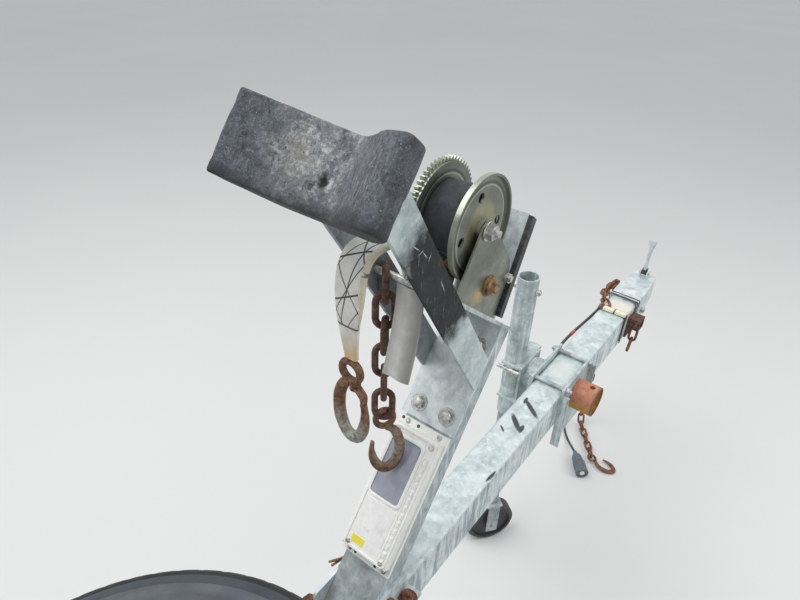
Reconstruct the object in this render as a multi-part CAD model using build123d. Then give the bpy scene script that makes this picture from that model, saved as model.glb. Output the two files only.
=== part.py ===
from build123d import *
import os
from math import atan2, cos, pi, radians, sin, sqrt

# The front end of a boat trailer, in mm: the tongue, its coupler, the winch stand and the jack.
# X runs forward along the tongue, Y to its left and Z up.
# The origin is the centre of the rear flange's back face, where the tongue bolts to the trailer.
os.makedirs("parts", exist_ok=True)

# Tongue tube and the flange at its rear end.
TONGUE_W = 76.0
TONGUE_H = 100.0
TONGUE_WALL = 5.0
TONGUE_R = 9.0
TONGUE_END = 2040.0
FLANGE_T = 10.0
FLANGE_W = 150.0
FLANGE_H = 170.0
FLANGE_BOLT_Y = 112.0
FLANGE_BOLT_Z = 132.0
FLANGE_HOLE_R = 7.0
SIDE = TONGUE_W / 2
TOP = TONGUE_H / 2

# Spare wheel, lying flat on the tongue.
SPARE_X = 365.0
SPARE_Y = -40.0
TYRE_R = 303.0
TYRE_W = 178.0
TYRE_WALL = 12.0
TYRE_SIDES = 54
BEAD_R = 168.0
RIM_W = 125.0
RIM_T = 3.0
HUB_HOLE_R = 41.0
LUG_PCD = 114.3
LUG_HOLE_R = 7.5
LUG_COUNT = 5
SPARE_Z = TOP + 2.0 + TYRE_W / 2

# Winch stand. It leans forward by this angle above level.
LEAN = 51.5
SHELF_X = 1056.0
SHELF_Z = 480.0
POST_W = 82.0
POST_DEPTH = 50.0
POST_WALL = 5.0
PLATE_W = 98.0
PLATE_T = 6.0
PLATE_LENGTH = 190.0
CASE_W = 84.0
CASE_TALL = 208.0
CASE_DEEP = 26.0
EAR_T = 7.0
PANEL_W = 56.0
PANEL_TALL = 100.0
PANEL_LEFT = 36.0
SHELF_T = 6.0
SHELF_FRONT = 45.0
SHELF_REAR = 214.0
ARM_T = 6.0
ARM_W = 48.0
ARM_IN = 44.5
ARM_RISE = 19.0
ARM_DROP = 81.0
ARM_END = 405.0
BASE_T = 6.0
BASE_X0 = 700.0
BASE_X1 = 850.0
BASE_W = 142.0
SHOE_T = 5.0
SHOE_H = 49.0
SHOE_BOLT_X = 790.0
STUD_Y = 59.0
TIE_R = 5.0
TIE_S = 240.0
TIE_T = -5.0

# Bow block.
BLOCK_LEFT = 104.0
BLOCK_RIGHT = -98.0
BLOCK_H = 86.0
BLOCK_BACK = 29.0
BLOCK_TIP = 77.0
GROOVE_Y = -17.0
BLOCK_PLATE_T = 6.0

# Winch.
DRUM_S = 170.0
DRUM_T = 97.0
FLANGE_R = 72.0
DRUM_HALF = 31.0
BARREL_R = 22.0
WOUND_R = 52.0
WINCH_SHEET = 3.0
WINCH_HALF = 42.0
GEAR_TEETH = 61
PINION_TEETH = 14
MODULE = 2.5
GEAR_W = 7.0
AXLE_R = 6.5
SHAFT_R = 7.0
RUN = 0.05
WINCH_TIE_S = 49.0
WINCH_TIE_T = 62.0

# Bow chain from the spacer, and the safety chains.
CHAIN_Y = 29.0
LINK_L = 58.0
LINK_W = 28.0
LINK_D = 8.5
SAFE_L = 49.0
SAFE_W = 27.0
SAFE_D = 7.5
LINK_PLAY = 0.4

# Jack.
JACK_X = 1505.0
JACK_Y = 112.0
JACK_TOP = 296.0
JACK_LOW = -120.0
JACK_R = 26.0
JACK_WALL = 3.5
LEG_R = 21.5
LEG_WALL = 3.0
LEG_TOP = 60.0
LEG_LOW = -488.0
PIVOT_X = JACK_X + 33.0
PIVOT_Z = 5.0
STUB_R = 38.0
STUB_WALL = 4.0
STUB_OUT = 58.0
STUB_LEFT_OUT = 38.0
CLAMP_T = 6.0
CLAMP_L = 168.0
CLAMP_LOW = -112.0
ROD_R = 5.0
ROD_SPACING = 135.0
WHEEL_R = 75.0
WHEEL_W = 44.0
WHEEL_TURN = -37.0

# Coupler and its latch lever.
COUPLER_REAR = 1965.0
COUPLER_LENGTH = 225.0
COUPLER_END = COUPLER_REAR + COUPLER_LENGTH
COUPLER_T = 4.0
LATCH_X = COUPLER_END - 56.0
LATCH_Z = 66.0
LATCH_TALL = 112.0
BAND_X = 1873.0
RING_X = 1938.0
CABLE_R = 4.0
GROUND = -655.0

UX = cos(radians(LEAN))
UZ = sin(radians(LEAN))


def st(s, t):
    # Stand coordinates: s square off the post's face towards the boat, t up along the post from the shelf.
    return (SHELF_X - s * UZ + t * UX, SHELF_Z + s * UX + t * UZ)


def slab(points, y_low, y_high):
    # A flat profile in X and Z, as thick as the two Y values are apart.
    face = Polygon(*points, align=None)
    return extrude(Plane(origin=(0, y_high, 0), x_dir=(1, 0, 0), z_dir=(0, -1, 0)) * face,
                   amount=y_high - y_low, dir=(0, -1, 0))


def cross(x, z, r, y_low, y_high):
    # A round bar across the tongue.
    return Pos(x, (y_low + y_high) / 2, z) * Rot(90, 0, 0) * Cylinder(r, y_high - y_low)


def rod(a, b, r):
    # A round bar from point a to point b.
    way = Vector(*b) - Vector(*a)
    return extrude(Plane(origin=a, z_dir=way) * Circle(r), amount=way.length)


def hexagon(a, b, across):
    # A hexagon bar from a to b, such as a nut or a bolt's head.
    way = Vector(*b) - Vector(*a)
    return extrude(Plane(origin=a, z_dir=way) * RegularPolygon(across / 2, 6, major_radius=False),
                   amount=way.length)


def upright_tube(x, y, r, wall, z_low, z_high):
    ring = Circle(r) - Circle(r - wall)
    return extrude(Pos(x, y, z_low) * ring, amount=z_high - z_low)


def link(length, width, wire):
    # A chain link, long along its own Z and wide along its own X, with straight runs and a six-sided wire.
    side = (width - wire) / 2
    end = (length - wire) / 2
    bend = end - side * 0.62
    flat = side * 0.45
    track = Polyline((side, 0), (side, bend), (flat, end), (-flat, end), (-side, bend), (-side, -bend),
                     (-flat, -end), (flat, -end), (side, -bend), (side, 0))
    path = (Plane.XZ * track).wire()
    section = Plane(origin=path @ 0, z_dir=path % 0) * RegularPolygon(wire / 2, 6)
    return sweep(section, path, transition=Transition.RIGHT)


def chain(route, length, width, wire):
    # Links along a route of points, each turned a quarter from the last, then where the last ends and its way.
    pitch = length - 2 * wire - LINK_PLAY
    path = Polyline(*route)
    count = int(path.length / pitch)
    one = link(length, width, wire)
    links = []
    for n in range(count):
        a = path @ ((n * pitch) / path.length)
        b = path @ (((n + 1) * pitch) / path.length)
        way = (b - a).normalized()
        flat = Vector(0, 1, 0) if abs(way.Y) < 0.9 else Vector(1, 0, 0)
        side = flat - way * flat.dot(way)
        place = Plane(origin=(a + b) / 2, x_dir=side, z_dir=way)
        links.append(place * Rot(0, 0, 90 * (n % 2)) * one)
    return links, b, way


def save(name, shape):
    if isinstance(shape, list):
        shape = Compound(children=shape)
    export_step(shape, f"parts/{name}.step")


# Tongue.
outside = RectangleRounded(TONGUE_W, TONGUE_H, TONGUE_R)
inside = RectangleRounded(TONGUE_W - 2 * TONGUE_WALL, TONGUE_H - 2 * TONGUE_WALL, TONGUE_R - TONGUE_WALL)
tongue = extrude(Plane(origin=(FLANGE_T, 0, 0), x_dir=(0, 1, 0), z_dir=(1, 0, 0)) * (outside - inside),
                 amount=TONGUE_END - FLANGE_T)
for x in (COUPLER_REAR + 20, COUPLER_REAR + 62):
    tongue -= cross(x, 0, 6, -60, 60)
save("tongue_beam", tongue)

flange = extrude(Plane.YZ * RectangleRounded(FLANGE_W, FLANGE_H, 8), amount=FLANGE_T)
for side in (-1, 1):
    for level in (-1, 1):
        flange -= rod((-1, side * FLANGE_BOLT_Y / 2, level * FLANGE_BOLT_Z / 2),
                      (FLANGE_T + 1, side * FLANGE_BOLT_Y / 2, level * FLANGE_BOLT_Z / 2), FLANGE_HOLE_R)
save("rear_flange", flange)

# Spare wheel. The tyre is rings of flat facets, given as rows of radius and height.
half = TYRE_W / 2
lip = RIM_W / 2
outer_rows = [(BEAD_R + 16, lip - RIM_T), (BEAD_R + 24, half * 0.84), (BEAD_R + 50, half * 0.97), (TYRE_R - 62, half),
              (TYRE_R - 30, half * 0.95), (TYRE_R - 9, half * 0.83), (TYRE_R, half * 0.6)]
inner_rows = [(BEAD_R + 4, lip - 18), (BEAD_R + 34, half * 0.8), (TYRE_R - 62, half - TYRE_WALL),
              (TYRE_R - 34, half * 0.74), (TYRE_R - TYRE_WALL - 4, half * 0.5)]


def facet_rings(rows):
    # A solid through many-sided rings, from the lowest row's mirror image up to the first row.
    both = [(r, -z) for r, z in rows] + [(r, z) for r, z in reversed(rows)]
    return loft([Plane(origin=(0, 0, z)) * RegularPolygon(r, TYRE_SIDES) for r, z in both], ruled=True)


tyre = facet_rings(outer_rows) - facet_rings(inner_rows)
tyre -= Cylinder(BEAD_R, TYRE_W + 10)
tyre = Pos(SPARE_X, SPARE_Y, SPARE_Z) * tyre
save("spare_tyre", tyre)

# Rim: its barrel's section, with the drop centre, then the dish with its holes.
barrel_line = [
    (BEAD_R + 15, lip), (BEAD_R + 15, lip - RIM_T + 0.1), (BEAD_R - 0.1, lip - RIM_T + 0.1),
    (BEAD_R - 0.1, lip - 22), (BEAD_R - 18, lip - 30), (BEAD_R - 18, -lip + 30),
    (BEAD_R - 0.1, -lip + 22), (BEAD_R - 0.1, -lip + RIM_T - 0.1), (BEAD_R + 15, -lip + RIM_T - 0.1),
    (BEAD_R + 15, -lip), (BEAD_R - 3, -lip), (BEAD_R - 3, -lip + 22), (BEAD_R - 21, -lip + 31),
    (BEAD_R - 21, lip - 31), (BEAD_R - 3, lip - 22), (BEAD_R - 3, lip),
]
barrel = revolve(Plane.XZ * Polygon(*barrel_line, align=None), Axis.Z)
dish_line = [
    (HUB_HOLE_R, 0), (78, 0), (100, 24), (BEAD_R - 21, 24), (BEAD_R - 21, 28), (98, 28), (76, 4),
    (HUB_HOLE_R, 4),
]
dish = revolve(Plane.XZ * Polygon(*dish_line, align=None), Axis.Z)
rim = barrel + dish
for n in range(LUG_COUNT):
    rim -= Rot(0, 0, 360 * n / LUG_COUNT) * Pos(LUG_PCD / 2, 0, 2) * Cylinder(LUG_HOLE_R, 20)
for n in range(10):
    rim -= Rot(0, 0, 36 * n + 18) * Pos(124, 0, 26) * Cylinder(9, 20)
rim = Pos(SPARE_X, SPARE_Y, SPARE_Z) * rim
save("spare_rim", rim)

# Spare carrier: a folded bracket welded on the tongue, with two studs through the wheel's lug holes.
lug_x = LUG_PCD / 2 * cos(radians(72))
lug_y = LUG_PCD / 2 * sin(radians(72))
carrier_top = slab([(SPARE_X - 75, SPARE_Z - 6), (SPARE_X + 75, SPARE_Z - 6), (SPARE_X + 75, SPARE_Z),
                    (SPARE_X - 75, SPARE_Z)], SPARE_Y - 32, SPARE_Y + lug_y + 20)
legs = []
for end in (-1, 1):
    legs.append(Pos(SPARE_X + end * 72, 0, (TOP + SPARE_Z - 6) / 2) * Box(6, 60, SPARE_Z - 6 - TOP))
carrier = carrier_top + legs[0] + legs[1]
save("spare_carrier", carrier)
studs = []
for turn in (72, 144):
    sx = SPARE_X + LUG_PCD / 2 * cos(radians(turn))
    sy = SPARE_Y + LUG_PCD / 2 * sin(radians(turn))
    studs.append(Pos(sx, sy, SPARE_Z + 13) * Cylinder(6, 18) + hexagon((sx, sy, SPARE_Z + 4), (sx, sy, SPARE_Z + 15), 19))
save("spare_nuts", studs)

# Base of the stand: a plate on the tongue, a bar below it, four studs and an open shoe.
base = Pos((BASE_X0 + BASE_X1) / 2, 0, TOP + BASE_T / 2) * Box(BASE_X1 - BASE_X0, BASE_W, BASE_T)
bars = []
STUD_XS = (BASE_X0 + 22, BASE_X1 - 22)
for x in STUD_XS:
    bars.append(Pos(x, 0, -TOP - 5) * Box(40, BASE_W, 10))
base_studs = []
for x in STUD_XS:
    for side in (-1, 1):
        y = side * STUD_Y
        base -= Pos(x, y, TOP) * Cylinder(6.2, 40)
        stud = Pos(x, y, 3) * Cylinder(6, 2 * TOP + 46)
        stud += hexagon((x, y, TOP + BASE_T), (x, y, TOP + BASE_T + 11), 19)
        stud += hexagon((x, y, -TOP - 21), (x, y, -TOP - 10), 19)
        base_studs.append(stud)
bars = [bar - Pos(x, STUD_Y, -TOP - 5) * Cylinder(6.2, 20) - Pos(x, -STUD_Y, -TOP - 5) * Cylinder(6.2, 20)
        for bar, x in zip(bars, STUD_XS)]
save("base_plate", base)
save("base_bars", bars)
save("base_studs", base_studs)

shoe_low = TOP + BASE_T
shoe = []
for side in (-1, 1):
    y0 = POST_W / 2 if side > 0 else -POST_W / 2 - SHOE_T
    wall = slab([(BASE_X0 + 18, shoe_low), (BASE_X1 - 8, shoe_low), (BASE_X1 - 8, shoe_low + SHOE_H),
                 (BASE_X0 + 18, shoe_low + SHOE_H)], y0, y0 + SHOE_T)
    shoe.append(fillet(wall.edges().filter_by(Axis.Y).group_by(Axis.Z)[-1], 8))
shoe = [wall - cross(SHOE_BOLT_X, shoe_low + 24, 6, -60, 60) for wall in shoe]
save("base_shoe", shoe)

# Post: a channel, open to the front, cut level at its foot.
post_back = -PLATE_T
foot = -(SHELF_Z - shoe_low) / UZ
long_foot = foot - 80
section = [(post_back, long_foot), (post_back, -SHELF_T), (post_back - POST_DEPTH, -SHELF_T),
           (post_back - POST_DEPTH, long_foot)]
hollow = [(post_back - POST_WALL, long_foot - 5), (post_back - POST_WALL, 5),
          (post_back - POST_DEPTH - 5, 5), (post_back - POST_DEPTH - 5, long_foot - 5)]
post = slab([st(*p) for p in section], -POST_W / 2, POST_W / 2)
post -= slab([st(*p) for p in hollow], -POST_W / 2 + POST_WALL, POST_W / 2 - POST_WALL)
post -= Pos(SHELF_X, 0, shoe_low - 100) * Box(1600, 200, 200)
post -= cross(SHOE_BOLT_X, shoe_low + 24, 6, -60, 60)
save("winch_post", post)
shoe_bolt = cross(SHOE_BOLT_X, shoe_low + 24, 6, -POST_W / 2 - SHOE_T - 10, POST_W / 2 + SHOE_T + 10)

# Plate bolted to the post, with its four bolts.
plate = slab([st(-PLATE_T, -PLATE_LENGTH), st(0, -PLATE_LENGTH), st(0, -SHELF_T), st(-PLATE_T, -SHELF_T)],
             -PLATE_W / 2, PLATE_W / 2)
save("post_plate", plate)
bolts = []
for t in (-PLATE_LENGTH + 24, -46):
    for y in (-26, 26):
        a = st(0, t)
        b = st(7, t)
        bolts.append(hexagon((a[0], y, a[1]), (b[0], y, b[1]), 17))
save("plate_bolts", bolts)

shelf = slab([st(-SHELF_FRONT, -SHELF_T), st(SHELF_REAR, -SHELF_T), st(SHELF_REAR, 0), st(-SHELF_FRONT, 0)],
             -ARM_IN, ARM_IN)
save("winch_shelf", shelf)

# Arms up to the bow block: flat bars on edge, cut square to the post's face at the foot.
rise = radians(ARM_RISE)


def arm_t(s, high):
    # Height of the arm's lower or upper edge at distance s.
    edge = -ARM_DROP + (ARM_W / 2 if high else -ARM_W / 2)
    return (edge + s * sin(rise)) / cos(rise)


arm_points = [st(0, arm_t(0, False)), st(ARM_END, arm_t(ARM_END, False)), st(ARM_END, arm_t(ARM_END, True)),
              st(0, arm_t(0, True))]
for name, y0 in (("arm_left", ARM_IN), ("arm_right", -ARM_IN - ARM_T)):
    save(name, slab(arm_points, y0, y0 + ARM_T))
tie_x, tie_z = st(TIE_S, TIE_T)
tie = cross(tie_x, tie_z, TIE_R, -ARM_IN, ARM_IN)
save("arm_spacer", tie)

# Bow block on its backing plate: a vee seen along the stand, its groove off centre and its right wing round-nosed.
block_mid = (arm_t(ARM_END, False) + arm_t(ARM_END, True)) / 2
back = slab([st(ARM_END, block_mid - 34), st(ARM_END + BLOCK_PLATE_T, block_mid - 34),
             st(ARM_END + BLOCK_PLATE_T, block_mid + 34), st(ARM_END, block_mid + 34)], -62, 62)
save("block_plate", back)
s0 = ARM_END + BLOCK_PLATE_T
tip = s0 + BLOCK_TIP
vee = [(BLOCK_RIGHT, tip - 31), (-58, s0), (62, s0), (BLOCK_LEFT, tip - 27), (BLOCK_LEFT, tip),
       (GROOVE_Y, s0 + BLOCK_BACK), (BLOCK_RIGHT + 26, tip - 3), (BLOCK_RIGHT, tip)]
ox, oz = st(0, block_mid - BLOCK_H / 2)
block_plane = Plane(origin=(ox, 0, oz), x_dir=(0, 1, 0), z_dir=(UX, 0, UZ))
block = extrude(block_plane * Polygon(*vee, align=None), amount=BLOCK_H)
along = block.edges().filter_by(Axis(origin=(0, 0, 0), direction=(UX, 0, UZ))).sort_by(Axis.Y)
block = fillet(along[0:2], 11)
along = block.edges().filter_by(Axis(origin=(0, 0, 0), direction=(UX, 0, UZ))).sort_by(Axis.Y)
block = fillet(along[-2:], 3)
save("bow_block", block)

# Winch: a folded frame on the shelf, a drum with its gear, and the pinion that drives it.
drum_x, drum_z = st(DRUM_S, DRUM_T)
centres = MODULE * (GEAR_TEETH + PINION_TEETH) / 2
toward = atan2(37.5 - DRUM_T, 97.6 - DRUM_S)
pinion_s = DRUM_S + centres * cos(toward)
pinion_t = DRUM_T + centres * sin(toward)
pinion_x, pinion_z = st(pinion_s, pinion_t)
winch_tie_x, winch_tie_z = st(WINCH_TIE_S, WINCH_TIE_T)
cheek = [(30, 0), (175, 0), (DRUM_S + 14, DRUM_T), (DRUM_S + 9, DRUM_T + 11), (DRUM_S - 4, DRUM_T + 15),
         (DRUM_S - 16, DRUM_T + 13), (62, 86), (42, 60)]
frame = slab([st(*p) for p in cheek], -WINCH_HALF, WINCH_HALF)
middle = [(0, WINCH_SHEET), (260, WINCH_SHEET), (260, 160), (0, 160)]
frame -= slab([st(*p) for p in middle], -WINCH_HALF + WINCH_SHEET, WINCH_HALF - WINCH_SHEET)
frame -= cross(drum_x, drum_z, AXLE_R, -60, 60)
frame -= cross(pinion_x, pinion_z, SHAFT_R + RUN, -60, 60)
frame -= cross(winch_tie_x, winch_tie_z, 5, -60, 60)
save("winch_frame", frame)

axle = cross(drum_x, drum_z, AXLE_R, -WINCH_HALF - 12, WINCH_HALF + 2)
axle += cross(drum_x, drum_z, 9, -WINCH_HALF - 2, -WINCH_HALF)
axle += hexagon((drum_x, -WINCH_HALF - 2, drum_z), (drum_x, -WINCH_HALF - 9, drum_z), 17)
save("drum_axle", axle)
winch_tie = cross(winch_tie_x, winch_tie_z, 5, -WINCH_HALF - 9, WINCH_HALF + 2)
winch_tie += hexagon((winch_tie_x, -WINCH_HALF, winch_tie_z), (winch_tie_x, -WINCH_HALF - 6, winch_tie_z), 14)
save("winch_tie_bolt", winch_tie)


def gear(x, z, teeth, middle_angle, slack):
    # An involute outline, one tooth centred on the given angle, thinned a little for backlash.
    pitch_r = MODULE * teeth / 2
    base_r = pitch_r * cos(radians(25))
    tip_r = pitch_r + MODULE * 0.95
    root_r = pitch_r - MODULE * 1.2
    half_tooth = pi / (2 * teeth) - slack / (2 * pitch_r)
    inv_pitch = sqrt((pitch_r / base_r) ** 2 - 1) - radians(25)
    flank = []
    for r in (max(base_r, root_r), pitch_r, tip_r):
        roll = sqrt(max((r / base_r) ** 2 - 1, 0))
        inv_r = roll - atan2(roll, 1)
        flank.append((r, half_tooth + inv_pitch - inv_r))
    points = []
    for n in range(teeth):
        centre = middle_angle + 2 * pi * n / teeth
        around = [(root_r, -flank[0][1])] + [(r, -a) for r, a in flank]
        around += [(r, a) for r, a in reversed(flank)] + [(root_r, flank[0][1])]
        if base_r <= root_r:
            around = around[1:-1]
        points += [(x + r * cos(centre + a), z + r * sin(centre + a)) for r, a in around]
    return points


mesh_angle = atan2(pinion_z - drum_z, pinion_x - drum_x)
wheel_gear = slab(gear(drum_x, drum_z, GEAR_TEETH, mesh_angle, 0.25), DRUM_HALF, DRUM_HALF + GEAR_W)
drum = wheel_gear
for side in (-1, 1):
    y0 = DRUM_HALF - WINCH_SHEET if side > 0 else -DRUM_HALF
    drum += cross(drum_x, drum_z, FLANGE_R, y0, y0 + WINCH_SHEET)
rim_ring = cross(drum_x, drum_z, FLANGE_R, -DRUM_HALF - 4, -DRUM_HALF)
rim_ring -= cross(drum_x, drum_z, FLANGE_R - 3, -DRUM_HALF - 5, -DRUM_HALF + 1)
drum += rim_ring
drum += cross(drum_x, drum_z, BARREL_R, -DRUM_HALF, DRUM_HALF)
drum += cross(drum_x, drum_z, 12, -DRUM_HALF - 6, DRUM_HALF + GEAR_W)
drum -= cross(drum_x, drum_z, AXLE_R + RUN, -60, 60)
for angle, r in ((98.5, 44), (-176, 46), (-5, 42)):
    hx = drum_x + r * cos(radians(angle))
    hz = drum_z + r * sin(radians(angle))
    drum -= cross(hx, hz, 7, -DRUM_HALF - 5, -DRUM_HALF + 5)
save("winch_drum", drum)
wound = cross(drum_x, drum_z, WOUND_R, -DRUM_HALF + WINCH_SHEET + 0.5, DRUM_HALF - WINCH_SHEET - 0.5)
wound -= cross(drum_x, drum_z, BARREL_R, -DRUM_HALF, DRUM_HALF)
save("winch_webbing", wound)

pinion_turn = mesh_angle + pi + pi / PINION_TEETH
pinion = slab(gear(pinion_x, pinion_z, PINION_TEETH, pinion_turn, 0.25), DRUM_HALF - 1, WINCH_HALF - WINCH_SHEET - 0.4)
pinion += cross(pinion_x, pinion_z, SHAFT_R, -WINCH_HALF - 14, WINCH_HALF + 20)
pinion += cross(pinion_x, pinion_z, 11, -WINCH_HALF - 6, -WINCH_HALF - 0.3)
pinion -= Pos(pinion_x, WINCH_HALF + 14, pinion_z + 6.5) * Box(30, 14, 3)
pinion -= Pos(pinion_x, WINCH_HALF + 14, pinion_z - 6.5) * Box(30, 14, 3)
save("pinion_shaft", pinion)

# Guard plate in front of the winch, with a black edging on its right side.
guard = slab([st(19, 0), st(24, 0), st(60, 158), st(55, 158)], -40, 40)
save("winch_guard", guard)
edging = slab([st(12, 6), st(26, 6), st(61, 156), st(47, 156)], -48, -40)
edging -= slab([st(19, 0), st(24, 0), st(60, 158), st(55, 158)], -44, -30)
save("guard_edging", edging)

# Tracker housing on the post's face, with its solar panel.
tracker_s = -PLATE_T
case_top = -PLATE_LENGTH - 16
case_low = case_top - CASE_TALL
face = tracker_s + CASE_DEEP
case = slab([st(tracker_s, case_top), st(face - 2, case_top), st(face, case_low), st(tracker_s, case_low)],
            -CASE_W / 2, CASE_W / 2)
case = fillet(case.edges().filter_by(Axis.Y), 3)
case += slab([st(tracker_s, case_top + 12), st(tracker_s + EAR_T, case_top + 12), st(tracker_s + EAR_T, case_low - 14),
              st(tracker_s, case_low - 14)], -CASE_W / 2 - 3, CASE_W / 2 + 3)
panel_top = case_top - 16
panel_low = panel_top - PANEL_TALL
case -= slab([st(face - 4, panel_top), st(face + 4, panel_top), st(face + 4, panel_low), st(face - 4, panel_low)],
             PANEL_LEFT - PANEL_W, PANEL_LEFT)
save("tracker_case", case)
panel = slab([st(face - 4, panel_top - RUN), st(face - 2.6, panel_top - RUN), st(face - 1.8, panel_low + RUN),
              st(face - 4, panel_low + RUN)], PANEL_LEFT - PANEL_W + RUN, PANEL_LEFT - RUN)
save("solar_panel", panel)


def ribbon(points, thick, y_low, y_high, steps=14):
    # Webbing that follows a smooth line in X and Z.
    line = Spline(*points)
    left = []
    right = []
    for n in range(steps + 1):
        at = line @ (n / steps)
        way = (line % (n / steps)).normalized()
        left.append((at.X - way.Y * thick / 2, at.Y + way.X * thick / 2))
        right.append((at.X + way.Y * thick / 2, at.Y - way.X * thick / 2))
    return slab(left + right[::-1], y_low, y_high)


sling_line = [(tie_x + 1, tie_z + 5.2), (tie_x - 20, tie_z + 62), (tie_x - 52, tie_z + 80), (tie_x - 80, tie_z + 74),
              (tie_x - 97, tie_z + 46), (tie_x - 99, tie_z - 10), (tie_x - 94, tie_z - 62)]
save("sling", ribbon(sling_line, 8, -14, 22))
strap_line = [(tie_x - 1, tie_z - 5.4), (tie_x - 4, tie_z - 45), (tie_x - 14, tie_z - 90), (tie_x - 26, tie_z - 132)]
save("grey_strap", ribbon(strap_line, 6, -30, 10))

# Bow chain from the spacer, and the two hooks.
chain_top = tie_z + TIE_R + LINK_D + 0.2
chain_x = tie_x
count = 6
links = []
for n in range(count):
    z = chain_top - LINK_L / 2 - n * (LINK_L - 2 * LINK_D - LINK_PLAY)
    links.append(Pos(chain_x, CHAIN_Y, z) * Rot(0, 0, 90 * (n % 2)) * link(LINK_L, LINK_W, LINK_D))
save("bow_chain", links)
chain_low = chain_top - LINK_L / 2 - (count - 1) * (LINK_L - 2 * LINK_D - LINK_PLAY) - LINK_L / 2 + LINK_D


def hook(length, width, d):
    # A forged hook in the Y and Z plane, hung by its eye: the eye's ring, then an oval bowl open at one side.
    eye = Rot(0, 90, 0) * Torus(9 + d / 2, d / 2)
    top = -9 - d
    tall = (length + top) / 2
    oval = Wire([Plane.YZ * EllipticalCenterArc((0, top - tall), width / 2, tall, start_angle=92, arc_size=293)])
    return eye + sweep(Plane(origin=oval @ 0, z_dir=oval % 0) * Circle(d / 2), oval)


hook_low = Pos(chain_x, CHAIN_Y, chain_low - LINK_D / 2) * Rot(0, 22, 0) * Rot(0, 0, 90) * Pos(0, 0, -4.55) * hook(96, 48, 10)
save("chain_hook", hook_low)
sling_end_x = tie_x - 94
sling_end_z = tie_z - 62
snap = Pos(sling_end_x, 4, sling_end_z - 20.8) * hook(112, 50, 11)
save("sling_hook", snap)
save("shoe_bolt", shoe_bolt + hexagon((SHOE_BOLT_X, -POST_W / 2 - SHOE_T - 7, shoe_low + 24),
                                      (SHOE_BOLT_X, -POST_W / 2 - SHOE_T, shoe_low + 24), 19)
     + hexagon((SHOE_BOLT_X, POST_W / 2 + SHOE_T, shoe_low + 24),
               (SHOE_BOLT_X, POST_W / 2 + SHOE_T + 7, shoe_low + 24), 19))

# Jack mount: a flanged plate each side of the tongue, four rods, and a pipe stub on each plate.
clamp_x0 = PIVOT_X - CLAMP_L / 2
clamp_x1 = PIVOT_X + CLAMP_L / 2
rods = []
for side, name, flange_out in ((-1, "clamp_right", 15), (1, "clamp_left", 4)):
    y0 = SIDE if side > 0 else -SIDE - CLAMP_T
    sheet = slab([(clamp_x0, CLAMP_LOW), (clamp_x1, CLAMP_LOW), (clamp_x1, TOP + 16), (clamp_x0, TOP + 16)],
                 y0, y0 + CLAMP_T)
    for end in (clamp_x0, clamp_x1 - CLAMP_T):
        y1 = SIDE + CLAMP_T if side > 0 else -SIDE - CLAMP_T - flange_out
        sheet += slab([(end, CLAMP_LOW), (end + CLAMP_T, CLAMP_LOW), (end + CLAMP_T, TOP - 2), (end, TOP - 2)],
                      y1, y1 + flange_out)
    stub_in = side * (SIDE + CLAMP_T)
    stub_end = side * (SIDE + CLAMP_T + (STUB_OUT if side < 0 else STUB_LEFT_OUT))
    for x in (PIVOT_X - ROD_SPACING / 2, PIVOT_X + ROD_SPACING / 2):
        for z in (TOP + ROD_R + 1, -TOP - ROD_R - 1):
            sheet -= cross(x, z, ROD_R + 0.1, -60, 60)
    save(name, sheet)
    stub = cross(PIVOT_X, PIVOT_Z, STUB_R, min(stub_in, stub_end), max(stub_in, stub_end))
    stub -= cross(PIVOT_X, PIVOT_Z, STUB_R - STUB_WALL, min(stub_in, stub_end) - 1, max(stub_in, stub_end) + 1)
    if side < 0:
        stub -= rod((PIVOT_X, stub_end + 18, 0), (PIVOT_X, stub_end + 18, 80), 7)
        save("stub_right", stub)
    else:
        save("stub_left", stub)
rod_list = []
for x in (PIVOT_X - ROD_SPACING / 2, PIVOT_X + ROD_SPACING / 2):
    for z in (TOP + ROD_R + 1, -TOP - ROD_R - 1):
        bar = cross(x, z, ROD_R, -SIDE - CLAMP_T - 13, SIDE + CLAMP_T + 13)
        for y in (-SIDE - CLAMP_T - 8, SIDE + CLAMP_T):
            bar += hexagon((x, y, z), (x, y + 8, z), 16)
        rod_list.append(bar)
save("clamp_rods", rod_list)

# Jack: a collar that turns on the left stub, the outer tube, the leg, its fork and its wheel.
collar_in = SIDE + CLAMP_T + 6
collar_out = SIDE + CLAMP_T + STUB_LEFT_OUT + 2
collar = cross(PIVOT_X, PIVOT_Z, STUB_R + 6, collar_in, collar_out)
collar -= cross(PIVOT_X, PIVOT_Z, STUB_R + RUN, collar_in - 1, collar_out + 1)
web_y0 = collar_out - 6
web = slab([(JACK_X - 30, -62), (PIVOT_X + 44, -62), (PIVOT_X + 44, 52), (JACK_X - 30, 52)], web_y0, collar_out)
web -= cross(PIVOT_X, PIVOT_Z, STUB_R + RUN, 0, 200)
top_gusset = slab([(JACK_X - 30, 46), (PIVOT_X + 60, 46), (PIVOT_X + 60, 52), (JACK_X - 30, 52)],
                  collar_out, JACK_Y + 22)
low_gusset = slab([(JACK_X - 30, -62), (JACK_X + 40, -62), (JACK_X + 40, -56), (JACK_X - 30, -56)],
                  collar_out, JACK_Y + 22)
carrier_body = collar + web + top_gusset + low_gusset
carrier_body -= Pos(JACK_X, JACK_Y, 0) * Cylinder(JACK_R, 400)
save("jack_carrier", carrier_body)
jack_tube = upright_tube(JACK_X, JACK_Y, JACK_R, JACK_WALL, JACK_LOW, JACK_TOP)
jack_tube -= cross(JACK_X, JACK_TOP - 34, 5.1, 0, 200)
save("jack_tube", jack_tube)
pin = cross(JACK_X, JACK_TOP - 34, 5, JACK_Y - JACK_R - 10, JACK_Y + JACK_R + 10)
pin += hexagon((JACK_X, JACK_Y - JACK_R - 7, JACK_TOP - 34), (JACK_X, JACK_Y - JACK_R, JACK_TOP - 34), 15)
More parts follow.
